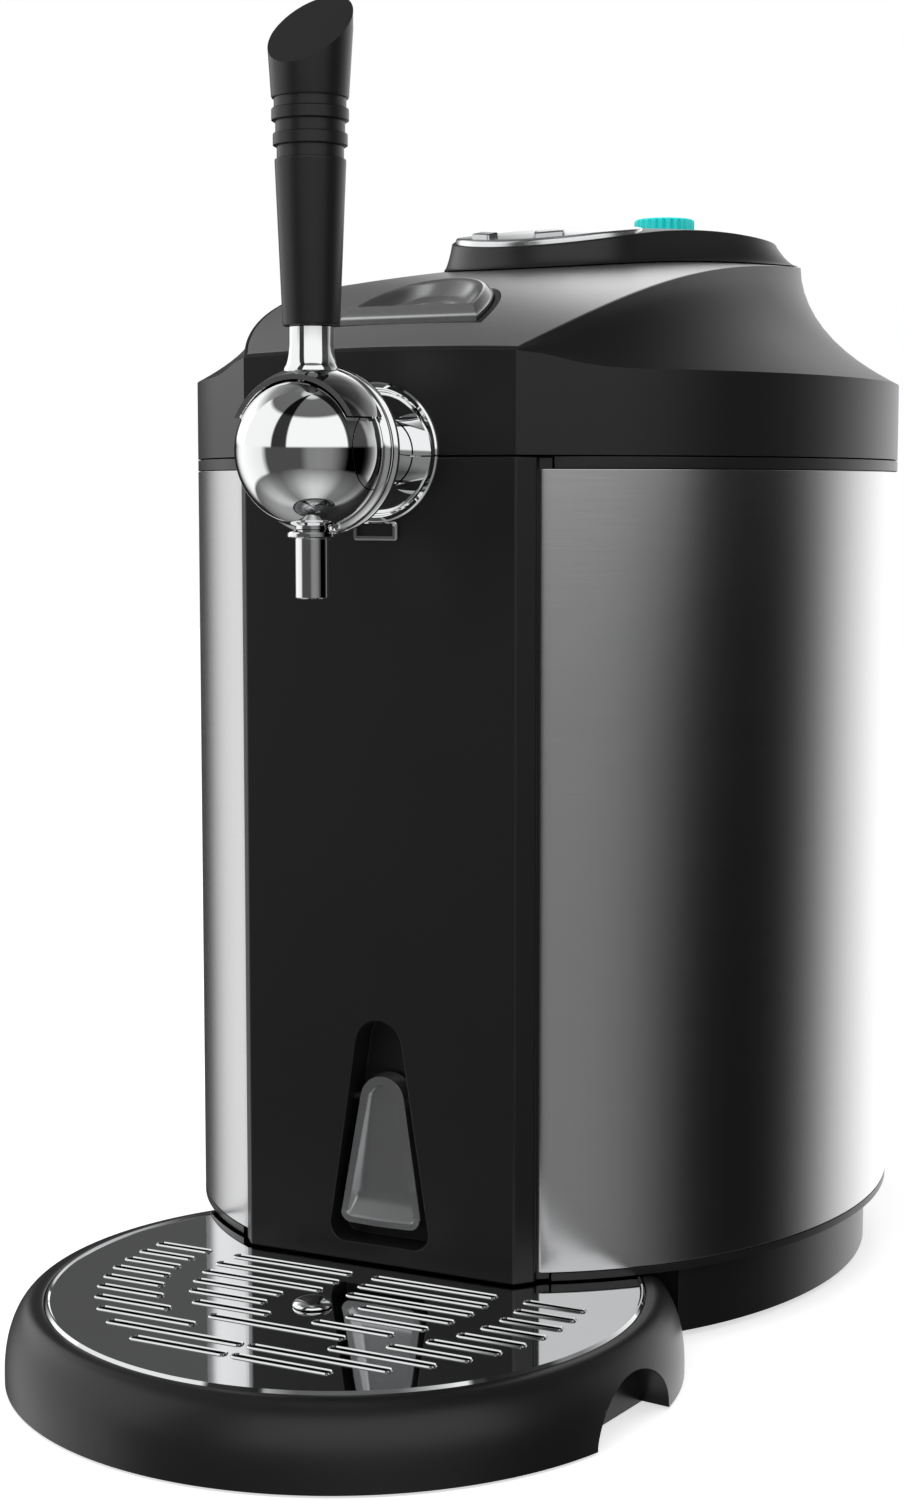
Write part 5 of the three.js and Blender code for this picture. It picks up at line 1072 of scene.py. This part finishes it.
def swept(low_line, low_height, high_line, high_height, share):
    out = (1 - share) ** HOLLOW
    ring = []
    for (ax, ay), (bx, by) in zip(low_line, high_line):
        z = low_height(ax, ay) * (1 - share) + high_height(bx, by) * share
        ring.append(at(bx + (ax - bx) * out, by + (ay - by) * out, z))
    return ring


def level(line, height):
    return [at(x, y, height(x, y)) for x, y in line]


def below_facet(drop):
    return lambda x, y: facet_height(x, y) - drop


def below_skirt(drop):
    return lambda x, y: skirt_height(x, y) - drop


def seam(x, y):
    return LID_LOW


skirt_in, ledge, lip = inset(skirt, WALL), inset(facet, 5), inset(facet, 0.8)
climbs = (0, 0.02, 0.05, 0.1, 0.15, 0.22, 0.3, 0.4, 0.5, 0.6, 0.7, 0.8, 0.9, 1)
rings = [level(skirt, seam)]
rings += [swept(skirt, skirt_height, facet, facet_height, s) for s in climbs]
rings += [level(lip, facet_height), level(lip, below_facet(2.3)), level(ledge, below_facet(2.3))]
rings += [swept(skirt_in, below_skirt(WALL), ledge, below_facet(4.8), s)
          for s in (1, 0.75, 0.5, 0.25, 0)]
rings += [level(skirt_in, seam)]
print("lid rings:", len(rings), "of", len(skirt), "places")

# %% [markdown]
# The last ring is joined to the first one, which makes a closed wall with no top: the
# silver facet covers it. At the rear the lid carries the middle barrel of each hinge.

# %% Lid shell
lid = drawn_up("lid_side", rings + rings[:1], "open", "open")
softened(lid, 0.45, 3, 24)
less(lid, rod("tap_way_lid", 22.8, FACE - 3, FACE + 5.5, 0, TAP, "Y"))
for side in (-1, 1):
    hinge = knuckle("lid_knuckle", side, 1, LID_LOW)
    x0, x1 = sorted((side * 22.3, side * 32.3))
    arm = block("arm", x0, x1, 150.7, HINGE_Y, LID_LOW, 328.2)
    plus(hinge, less(arm, hinge_bore(x0, x1)))
    plus(lid, hinge)
finished(lid, black_plastic, "lid_shell")

# %% [markdown]
# The facet is one sheet of silver, so a grid is laid over its outline and raised to the
# same height formula. Two openings are cut: one for the pod and one for the latch.

# %% Silver facet
facet_right = inset(facet, 1.13)[:SIDE_STEPS + 1]


def on_facet(across, along):
    reach = along * SIDE_STEPS
    i = min(SIDE_STEPS - 1, int(reach))
    share = reach - i
    x = facet_right[i][0] * (1 - share) + facet_right[i + 1][0] * share
    y = facet_right[i][1] * (1 - share) + facet_right[i + 1][1] * share
    return (2 * across - 1) * x, y


LATCH_Y = -128.797
LATCH_HALF = 28
LATCH_DEEP = 43.5


def latch_plan(gap, count=64):
    """Half an ellipse behind a straight front, grown by a gap all round."""
    width, depth, front = LATCH_HALF + gap, LATCH_DEEP + 2 * gap, LATCH_Y - gap
    return [(width * math.cos(t), front + depth * math.sin(t)) for t in evenly(0, math.pi, count)]


def pod_loop(inset_by, lean, count=140):
    circles = [(0, 71, 76 - inset_by - 9 * lean), (0, 6, 47 - inset_by - 3.2 * lean)]
    return spaced(around_circles(circles, 400), count)


plate = sheet("silver_facet", 48, 60, on_facet, facet_height, below_facet(2))
less(plate, prism("pod_way", pod_loop(8, 0), 350, 430),
     prism("latch_way", latch_plan(3 + SEAT), 330, 430))
softened(plate, 0.3, 2, 50)
finished(plate, satin_silver, "lid_top_plate")

# %% [markdown]
# The latch is a cup with a straight front and half an ellipse behind. The push button in
# it has a raised lip at the rear, a fine step inside it and a dish for a fingertip.

# %% Latch


def button_top(x, y):
    share = math.hypot(x / LATCH_HALF, (y - LATCH_Y) / LATCH_DEEP)
    lip = 4.4 * math.exp(-((share - 0.87) / 0.12) ** 2)
    step = 0.9 * math.exp(-((share - 0.62) / 0.045) ** 2)
    dish = 2.6 / (1 + math.exp((share - 0.66) / 0.03))
    return facet_height(x, y) + lip + step - dish


cup = drawn_up("latch_cup", [level(latch_plan(gap), below_facet(drop))
                             for gap, drop in ((3, 12), (3, 0.4), (0.4, 0.4), (0.4, 9.5))])
softened(cup, 0.3, 2, 50)
finished(cup, soft_black, "latch_frame")
press = domed("latch_press", latch_plan(-0.2, 96), below_facet(5.5), button_top, 0.7, 30)
finished(press, grey_satin, "latch_button")

# %% [markdown]
# ## Control pod
# The pod is a belt round two circles. Its wall leans in on a curve that is steep at the
# foot, and its top is a shallow dome. One skin runs from the middle of the hollow inside,
# round the foot, up the wall and over the top, so the pod is closed from the start.

# %% Pod heights
POD_ROUND = 0.8
POD_LEAN = 0.6


def pod_height(x, y):
    away = y - 50
    fall = 13.2 * (away / 87) ** 2 if away < 0 else 4 * (away / 93) ** 2
    return 420.4 - fall - 4.7 * (x / 72) ** 2


def shrunk(line, share):
    return [(x * share, 38.5 + (y - 38.5) * share) for x, y in line]


def pod_foot(x, y):
    return facet_height(x, y) + 0.6


def roof(x, y):
    return pod_height(x, y) - 4.5


base, rim, inner = pod_loop(0, 0), pod_loop(0, 1), pod_loop(4.5, 1)
print("pod top:", round(pod_height(0, 50), 1), "mm")

# %% [markdown]
# Ten rings make the leaning wall, three round its upper edge, and the rest shrink towards
# the middle of the top, so that the dome shades evenly.

# %% Pod skin
rings = [level(shrunk(inner, s), roof) for s in (0.02, 0.3, 0.6, 0.85, 1)]
rings += [level(inner, pod_foot), level(base, pod_foot)]
for share in (0.03, 0.07, 0.12, 0.18, 0.26, 0.36, 0.48, 0.62, 0.8, 1):
    lean = pod_loop(0, share ** POD_LEAN)
    rings.append([at(p[0], p[1], pod_foot(*b) * (1 - share) + (pod_height(*r) - POD_ROUND) * share)
                  for p, b, r in zip(lean, base, rim)])
for turn in (30, 60, 90):
    a = math.radians(turn)
    fine = pod_loop(POD_ROUND * (1 - math.cos(a)), 1)
    rings.append(level(fine, lambda x, y: pod_height(x, y) - POD_ROUND * (1 - math.sin(a))))
rings += [level(shrunk(pod_loop(POD_ROUND, 1), s), pod_height)
          for s in (0.96, 0.9, 0.8, 0.7, 0.6, 0.5, 0.4, 0.3, 0.2, 0.1, 0.02)]
pod = drawn_up("pod_body", rings, "pole", "pole")
print("pod rings:", len(rings))

# %% [markdown]
# The control plate's plan is an arc of a circle in front and half an ellipse behind. The
# keys stand on a smaller arc round the same centre. A bed for the plate, ways for the keys
# and a hole for the knob are cut into the pod.

# %% Control plate and key plans
PLATE_RADIUS = 42.3
KEY_ARC = 36.3
ARC_Y = 6
EAR = 0.34
KNOB_Y = 122


def control_plan(gap, count=72):
    radius = PLATE_RADIUS + gap
    half, middle = radius * math.cos(EAR), ARC_Y - radius * math.sin(EAR)
    rear = [(half * math.cos(t), middle + (36 + gap) * math.sin(t))
            for t in evenly(0, math.pi, count)[:-1]]
    front = [(radius * math.cos(t), ARC_Y + radius * math.sin(t))
             for t in evenly(math.pi + EAR, 2 * math.pi - EAR, count)[:-1]]
    return rear + front


def key_plan(turn, grow, corner=1.0):
    cx, cy = KEY_ARC * math.sin(turn), ARC_Y - KEY_ARC * math.cos(turn)
    way, off = (math.cos(turn), math.sin(turn)), (-math.sin(turn), math.cos(turn))
    circles = []
    for u, v in ((-1, -1), (1, -1), (1, 1), (-1, 1)):
        a, b = u * (6 + grow - corner), v * (2.75 + grow - corner)
        circles.append((cx + way[0] * a + off[0] * b, cy + way[1] * a + off[1] * b, corner))
    return around_circles(circles, 48)


def from_pod(rise):
    return lambda x, y: pod_height(x, y) + rise


KEY_TURNS = {"button_left": -0.54, "button_right": 0.31}
less(pod, domed("plate_room", control_plan(SEAT), from_pod(-1.9), lambda x, y: 430, 0, 6),
     rod("knob_way", 14.7, 417.6, 440, 0, KNOB_Y, "Z", 96))
for turn in KEY_TURNS.values():
    less(pod, prism("key_way", key_plan(turn, SEAT), 395, 430))
finished(pod, black_plastic, "control_pod")

# %% [markdown]
# The control plate is a satin chrome cushion, 2.3 mm proud of the pod in front and almost
# level with it at the rear. Two small bars are pressed through it, set on an arc and
# turned with it.

# %% Control plate and buttons


def proud(y):
    return 0.4 + 1.9 * min(1, max(0, (22 - y) / 45))


shield = domed("control_shield", control_plan(0), from_pod(-1.6),
               lambda x, y: pod_height(x, y) + proud(y), 1.2, 10)
for turn in KEY_TURNS.values():
    less(shield, prism("key_way", key_plan(turn, SEAT), 395, 430))
softened(shield, 0.25, 2, 60)
finished(shield, plate_satin, "control_plate")
for name, turn in KEY_TURNS.items():
    key = domed(name + "_bar", key_plan(turn, 0), from_pod(-3.4), from_pod(4.1), 0.8, 6)
    finished(key, key_grey, name)

# %% [markdown]
# The pressure knob is a fluted turquoise disc. Its outline is a circle with 24 flutes,
# drawn up with a rounded edge and a shallow round hollow on top.

# %% Pressure knob
FLUTES = 24
KNOB_PLACES = 12 * FLUTES


def fluted(radius, depth):
    places = []
    for i in range(KNOB_PLACES):
        t = 2 * math.pi * i / KNOB_PLACES
        r = radius - depth * (0.5 - 0.5 * math.cos(FLUTES * t)) ** 2
        places.append((r * math.cos(t), KNOB_Y + r * math.sin(t)))
    return places


steps = [(12.9, 1.1, 417.9), (13.5, 1.2, 418.6), (13.5, 1.2, 431.3), (13.3, 0.7, 432.0),
         (12.8, 0.6, 432.5), (12.1, 0.4, 432.7), (9.6, 0, 432.7), (9.1, 0, 432.2), (0.2, 0, 432.0)]
rings = [[at(x, y, z) for x, y in fluted(r, d)] for r, d, z in steps]
knob = drawn_up("knob_cap", rings, "fill", "pole")
plus(knob, rod("spindle", 3, 406.9, 418.2, 0, KNOB_Y, "Z", 32))
finished(knob, turquoise, "pressure_knob")

# %% [markdown]
# Under the lid lies a shallow tray that closes the hollow and presses on the gasket.

# %% Lid liner
LINER_GAP = 2.8
liner = less(prism("liner_tray", inset(skirt, LINER_GAP), LID_LOW + SEAT, 338.2),
             prism("liner_room", inset(skirt, 5.3), 326.7, 341))
less(liner, block("nose_room", -24, 24, -170, -128.2, 321, 341))
for side in (-1, 1):
    less(liner, block("hook_way", side * 44 - 3.8, side * 44 + 3.8, -128.8, -125.2, 321, 341))
softened(liner, 0.3, 2, 50)
finished(liner, soft_black, "lid_liner")

# %% [markdown]
# ## Tap
# The tap is a ball on a short shank. Everything on it is turned, so each piece is a half
# section spun round one of two axes: the shank's, which runs front to rear, and the
# spout's, which stands upright through the middle of the ball.

# %% Ball
NECK = 45.9
BALL_Y = FACE - NECK
BALL = 26.3
CAP = 13


def around_y(name, section, steps=128):
    return spun(name, [(r, BALL_Y + y) for r, y in section], 0, TAP, "Y", steps)


stop = math.degrees(math.acos(1.7 / BALL))
globe = [(BALL * math.sin(math.radians(t)), BALL * math.cos(math.radians(t)))
         for t in evenly(180, stop, 44)]
globe[0] = (0, -BALL)
ball = around_y("tap_globe", globe + [(13.6, 1.7), (13.6, 11.0), (0, 11.0)])
cap_floor = math.sqrt(BALL ** 2 - CAP ** 2) - 6
blade_way = [(BALL_Y + 1.7, TAP), (BALL_Y + 1.7, TAP + 30), (BALL_Y - 16.8, TAP + 30),
             (BALL_Y - 2.2, TAP)]
less(ball, rod("cap_way", CAP + SEAT, cap_floor - SEAT, 30, BALL_Y, TAP, "X", 96),
     rod("cap_way", CAP + SEAT, -30, -cap_floor + SEAT, BALL_Y, TAP, "X", 96),
     prism("blade_way", blade_way, -2.9, 2.9, "X"),
     rod("hub_way", 6.6, -4.3, 4.3, BALL_Y, TAP, "X"),
     rod("pin_way", 2.8, -26, 26, BALL_Y, TAP, "X"),
     rod("spout_way", 6.1, 295, 301.3, 0, BALL_Y), rod("outlet", 4.2, 295, TAP, 0, BALL_Y))
softened(ball, 0.25, 2, 50)
finished(ball, chrome, "tap_ball")

# %% [markdown]
# A cap closes each side of the ball over the pivot. It is a slice of the same sphere, so
# from outside only a fine round line shows. The rear of it is cut off at the flange.

# %% Pivot caps
open_turn = math.asin(CAP / BALL)
dome = [(BALL * math.sin(t), BALL * math.cos(t)) for t in evenly(open_turn, 0, 16)]
dome[-1] = (0, BALL)
cap = spun("cap_right", [(0, cap_floor), (CAP, cap_floor)] + dome, BALL_Y, TAP, "X", 96)
shared(cap, block("cap_keep", 0, 30, BALL_Y - 30, BALL_Y + 1.7, TAP - 30, TAP + 30))
softened(cap, 0.3, 3, 50)
other_cap = copied(cap, "cap_left", (-1, 1, 1))
finished(cap, chrome, "pivot_cap_right")
finished(other_cap, chrome, "pivot_cap_left")

# %% [markdown]
# Behind the ball a grooved flange closes it, and the shank runs into the bezel.

# %% Flange and shank
ring_section = [(13.9, 2), (26.1, 2), (26.9, 2.25), (28.2, 3.0), (28.6, 3.7), (28.6, 4.9),
                (28.2, 5.3), (27.3, 5.7), (27.2, 6.0), (27.2, 7.0), (27.3, 7.3), (28.2, 7.7),
                (28.6, 8.1), (28.6, 9.4), (28.3, 10.1), (27.2, 11), (13.9, 11), (13.9, 2)]
flange = around_y("tap_ring", ring_section)
less(flange, rod("collar_way", 9.0, 275, 301.3, 0, BALL_Y))
finished(flange, chrome, "tap_flange")
front = 11.3
bead = (front + NECK) / 2
shank_section = [
    (5.5, front), (13.5, front), (13.8, front + 0.3), (13.8, front + 1.0), (13.4, front + 1.7),
    (12.7, front + 2.3), (12.6, front + 2.6), (12.6, bead), (12.8, bead + 0.2), (13.2, bead + 0.6),
    (12.8, bead + 1.0), (12.6, bead + 1.2), (12.6, 62.4), (4, 62.4), (4, 32.9), (5.5, 32.9),
    (5.5, front)]
shank = around_y("tap_neck", shank_section)
finished(shank, chrome, "tap_shank")

# %% [markdown]
# The spout is a slim tube under the ball with a collar and a short cone above it.

# %% Spout
tube = [(4.2, 275.2), (4.5, 275), (5.7, 275), (6, 275.4), (6, 295.2), (6.6, 295.5), (8.2, 295.6),
        (8.7, 296.0), (8.7, 297.0), (8.3, 297.5), (6.4, 298.0), (5.8, 298.5), (5.8, 301),
        (4.2, 301), (4.2, 275.2)]
spout = spun("tap_tube", tube, 0, BALL_Y, "Z", 96)
finished(spout, chrome, "tap_spout")

# %% [markdown]
# The yoke is a hood over the top of the ball, cut from a hollow sphere, with a flared stem
# for the handle. A thin blade under it reaches to the pivot through a slot in the ball.

# %% Yoke


def sphere(name, radius, count=64):
    section = [(radius * math.sin(t), TAP + radius * math.cos(t))
               for t in evenly(math.pi, 0, count)]
    section[0], section[-1] = (0, TAP - radius), (0, TAP + radius)
    return spun(name, section, 0, BALL_Y, "Z", 128)


yoke = shared(sphere("yoke_hood", 28.4),
              block("hood_keep", -32, 32, BALL_Y - 13, BALL_Y + 1.4, TAP + 11, 366.5))
stem = [(0, 350.5), (9.6, 350.8), (9.4, 352.6), (8.9, 353.4), (8.5, 354.4), (8.1, 355.8),
        (7.8, 357.6), (7.65, 360), (7.6, 366.2), (3, 366.2), (3, 380.2), (2.6, 380.5), (0, 380.5)]
plus(yoke, spun("yoke_stem", stem, 0, BALL_Y, "Z", 96))
less(yoke, sphere("hood_room", 26.9))
plus(yoke, block("yoke_blade", -2.6, 2.6, BALL_Y - 2.2, BALL_Y + 1.2, TAP, 352.55),
     rod("yoke_hub", 6, -4, 4, BALL_Y, TAP, "X"))
less(yoke, rod("bore", 2.8, -26, 26, BALL_Y, TAP, "X"),
     block("flange_way", -32, 32, BALL_Y + 1.4, BALL_Y + 29, TAP + 6.3, TAP + 29.2))
softened(yoke, 1.0, 4, 40)
finished(yoke, chrome, "tap_yoke")

# %% [markdown]
# The handle is a long black grip that widens upwards. Two rings between three grooves part
# it from the head, whose top is cut at a slant, high at the rear. The cut is one Boolean.

# %% Handle
HEAD = 14.5
SLANT_Z = 464.1
SLANT_RISE = 13.3
grip = [(0, 366.5), (9.2, 366.5), (9.6, 366.8), (9.72, 367.6), (12.02, 420.9), (11.95, 421.45)]
grip += [(11.3, 421.75), (11.25, 425.65), (11.9, 425.75), (12.55, 426.1), (12.55, 429.7)]
grip += [(12.3, 430.0), (11.7, 430.15), (11.7, 433.85), (12.4, 433.95), (13, 434.3), (13, 437.9)]
grip += [(12.7, 438.2), (12.15, 438.35), (12.15, 441.45), (12.8, 441.6), (13.05, 442.1)]
grip += [(HEAD, SLANT_Z), (HEAD, 479), (0, 479)]
handle = spun("tap_grip", grip, 0, BALL_Y, "Z", 128)
reach = 17.5
rise = SLANT_RISE * reach / HEAD
wedge = [(BALL_Y - reach, SLANT_Z - rise), (BALL_Y + reach, SLANT_Z + rise),
         (BALL_Y - reach, SLANT_Z + 2 * rise)]
less(handle, prism("slant", wedge, -18, 18, "X"), rod("stud_way", 3.3, 363, 380.8, 0, BALL_Y))
softened(handle, 0.5, 4, 40)
finished(handle, handle_black, "tap_handle")

# %% [markdown]
# The bezel is a thin bright rim with a shallow dish to the shank. It is parted at the lid's
# seam, so the upper half lifts with the lid. A small U-shaped frame hangs under it.

# %% Bezel
RIM = [(22.2, -153.0), (22.4, -153.7), (22.9, -154.1), (24.2, -154.1), (24.8, -153.7),
       (25, -153.1), (25, -152.8), (22.5, -152.8), (22.3, -150.4), (22.0, -148.9), (21.2, -148.0),
       (20, -147.9), (12.9, -147.9), (12.9, -148.9), (19.2, -148.9), (20.6, -149.2),
       (21.4, -149.9), (21.5, -151.2), (21.7, -152.6), (22.2, -153.0)]
upper = spun("bezel_high", RIM, 0, TAP, "Y", 144)
lower = copied(upper, "bezel_low")
shared(upper, block("keep_high", -28, 28, -160, 0, LID_LOW, 353))
softened(upper, 0.12, 2, 60)
finished(upper, chrome, "bezel_upper")
shared(lower, block("keep_low", -28, 28, -160, 0, 290, SEAM))
boss = shared(ring_of("boss", 12.9, 17, -148.4, -146.7, 0, TAP, "Y"),
              block("keep_boss", -28, 28, -160, 0, 290, SEAM))
tab = block("tab", -8.8, 8.8, -154.1, -152.8, 293.9, 300.5)
softened(tab, 0.6, 1)
less(tab, block("tab_inside", -7.3, 7.3, -158, -150, 295.4, 299.9))
plus(lower, boss, tab)
softened(lower, 0.12, 2, 60)
finished(lower, chrome, "bezel_lower")

# %% [markdown]
# ## Tray
# The drip tray is one turned shell: a convex skirt, a ledge that carries the plate, and a
# basin. A finger notch at each side is an arch with a liner, so no hollow edge shows.

# %% Drip tray
TRAY_Y = FACE - 24.7


def skirt_arc(cut, count=24):
    return [(109.4 - cut + 11.6 * math.cos(t), 4.4 + (23.4 - cut) * math.sin(t))
            for t in evenly(0, math.pi / 2, count)]


ledge_and_basin = [(109.9, 27.75), (109.0, 27.8), (107.7, 27.8), (107.2, 27.5), (107.2, 25.9),
                   (103.9, 25.9), (103.7, 25.6), (103.7, 10), (103.1, 8.6), (101.7, 8.0), (0, 8.0)]
outside = [(121, 0.4)] + skirt_arc(0)[:-1] + ledge_and_basin
under = [(0, 5.5), (103.7, 5.5), (103.7, 0.4), (106.2, 0.4), (106.2, 22.8)]
under += skirt_arc(WALL)[:-4][::-1] + [(118.5, 0.4)]
tray = spun("tray_shell", under + outside, 0, TRAY_Y, "Z", 192)
full = spun("tray_full", [(0, 0.4)] + outside, 0, TRAY_Y, "Z", 192)


def notch(name, side, grow):
    """An arch that stands across the rim, pointing outwards at one side."""
    turn = math.radians(90 - 7.2) * side
    cos, sin = math.cos(turn), math.sin(turn)
    arch = [((24 + grow) * math.cos(t), (20 + grow) * math.sin(t))
            for t in evenly(0, math.pi, 40)]
    rings = [[at(x * cos + reach * sin, TRAY_Y + x * sin - reach * cos, z) for x, z in arch]
             for reach in (108 - grow, 124)]
    return drawn_up(name, rings)


for side in (-1, 1):
    lining = shared(notch("lining", side, WALL), copied(full, "tray_copy"))
    plus(tray, lining)
bpy.data.objects.remove(full)
less(tray, notch("notch_right", 1, 0), notch("notch_left", -1, 0))
softened(tray, 0.35, 2, 40)
finished(tray, black_plastic, "drip_tray")

# %% [markdown]
# The slotted plate is the finest piece of work on the object. The slots run in rows, each
# row cut to the plate's outline, with a band between the inner and the outer ones. Every
# slot is drawn from two end circles. A slightly larger copy is joined on first as a raised
# rim with a sloped edge, and the slot itself flares at the top, which gives the bright lines.

# %% Slots
KNOB_BACK = 24.5
MIDDLE_GAP = 4.5
SLOT_ROUND = 1.5


def slot_runs(row):
    """One row's slots at the right, and whether the first one runs through the middle."""
    y = 12 - 10.2 * row
    inner, band, outer = [math.sqrt(max(0, r * r - y * y)) for r in (56.5, 64.5, 88.5)]
    dome_room = math.sqrt(max(0, 17 ** 2 - (y + KNOB_BACK) ** 2))
    start = max(MIDDLE_GAP, dome_room)
    runs = [(start, inner - SLOT_ROUND), (band + SLOT_ROUND, outer)]
    runs = [run for run in runs if run[1] - run[0] > 6]
    short = 0 < inner < 30 and runs and runs[0][0] == MIDDLE_GAP
    return y, runs, short


def slot_form(x0, x1, y, steps):
    """A round-ended slot drawn up through steps of (growth, height)."""
    rings = []
    for grow, z in steps:
        ends = [(x, TRAY_Y + y, SLOT_ROUND + grow) for x in (x0 + SLOT_ROUND, x1 - SLOT_ROUND)]
        rings.append([at(a, b, z) for a, b in around_circles(ends, 24)])
    return drawn_up("slot", rings)


def one_of(pieces):
    start_fresh()
    for piece in pieces:
        piece.select_set(True)
    bpy.context.view_layer.objects.active = pieces[0]
    bpy.ops.object.join()
    return pieces[0]


slots, rims = [], []
for row in range(10):
    y, runs, short = slot_runs(row)
    for i, (x0, x1) in enumerate(runs):
        spans = [(-x1, x1)] if short and i == 0 else [(x0, x1), (-x1, -x0)]
        for steps, kept in (([(0, 23), (0, 28.05), (0.36, 28.54), (0.36, 31)], slots),
                            ([(0.8, 27), (0.8, 27.98), (0.42, 28.5)], rims)):
            kept.extend(slot_form(a, b, y, steps) for a, b in spans)
print("slots:", len(slots))

# %% [markdown]
# The plate itself is a turned disc with a low rim. The rims of the slots are joined on, a
# bay is cut for the front of the cabinet, and then all slots are cut in one Boolean.

# %% Drip plate
disc = spun("plate_disc", [(0, 26.2), (106.3, 26.2), (106.9, 26.8), (106.9, 27.5), (106.1, 28.6),
                           (105.6, 28.6), (105.0, 28), (0, 28)], 0, TRAY_Y, "Z", 240)
plus(disc, one_of(rims))
nose = [(55.35, FACE - 1.5), (61.5, FACE + 5.75), (61.5, -137.2)]
less(disc, plus(prism("cabinet_way", oval_plan(-1.5, FACE - 1.5, 0), 23, 31),
                prism("nose_way", nose + mirrored(nose), 23, 31)))
less(disc, one_of(slots), rod("stud_way", 2.8, 23, 31, 0, TRAY_Y - KNOB_BACK, "Z", 32))
finished(disc, plate_chrome, "drip_plate")

# %% [markdown]
# A low chromed dome in the middle band lifts the plate. It is spun on a short stem.

# %% Lift knob
button = [(0, 26.2), (2.5, 26.2), (2.5, 28.3), (6.8, 28.3), (7, 28.5)]
button += [(7 * math.cos(t), 28.5 + 2.7 * math.sin(t)) for t in evenly(0.1, math.pi / 2, 20)[:-1]]
button += [(0, 31.2)]
finished(spun("lift_dome", button, 0, TRAY_Y - KNOB_BACK, "Z", 96), chrome, "lift_knob")

# %% [markdown]
# The grey lever is a tongue with an arched top. Its sides splay out to the rear, its face
# slopes back to the head, and a dish with a ramp at its foot is cut inside a raised rim.

# %% Tray lever


def tongue(rim):
    """A belt round four circles: two at the foot, one between them and the arched head."""
    return around_circles([(-12.11, 47, 5 - rim), (12.11, 47, 5 - rim), (0, 52, 10.3 - rim),
                           (0, 99 - 9.7, 9.7 - rim)], 144)


def tapered(name, places):
    """The tongue drawn up from front to rear by (rim, depth behind the face) steps."""
    return drawn_up(name, [[at(x, FACE + y, z) for x, z in tongue(rim)] for rim, y in places])


lever = tapered("lever_tongue", [(1.0, 0.8), (0.0, 7.6), (0.0, 9.9)])
slope = [(FACE - 3, 47), (FACE + 1.6, 47), (FACE + 3.2, 99), (FACE - 3, 102)]
dish_floor = [(FACE - 3, 40), (FACE + 1.6, 44), (FACE + 5.6, 54), (FACE + 4.7, 85),
              (FACE + 4.7, 100), (FACE - 3, 100)]
less(lever, prism("slope", slope, -40, 40, "X"))
dish = shared(tapered("dish", [(2.7, -1.0), (4.2, 4.0), (4.7, 7.0)]),
              prism("dish_floor", dish_floor, -40, 40, "X"))
less(lever, dish, rod("bore", 1.8, -40, 40, *LEVER_PIN, "X", 32))
softened(lever, 0.55, 3, 35)
finished(lever, grey_satin, "tray_lever")

# %% [markdown]
# ## The pieces inside
# The foam, the cooling unit, the boards and the pins keep their packed meshes. Each gets
# the finish of its own material slot. The pin of the lever is painted black as painted shade
# in the pocket, so that it doesn't shine there.

# %% Give every carried-over node its finish
for name, node in nodes.items():
    for holder in node.material_slots:
        holder.material = FINISHES[slot_of[name]]
# Painted shade: the lever's pin is black in place of its own finish, so it reads dark in the
# pocket.
nodes["lever_pin"].material_slots[0].material = soft_black
print("finishes on", len(nodes), "nodes")

# %% [markdown]
# ## Sizes
# The looks must not change how big the object is.

# %% Finish


print("scene built")
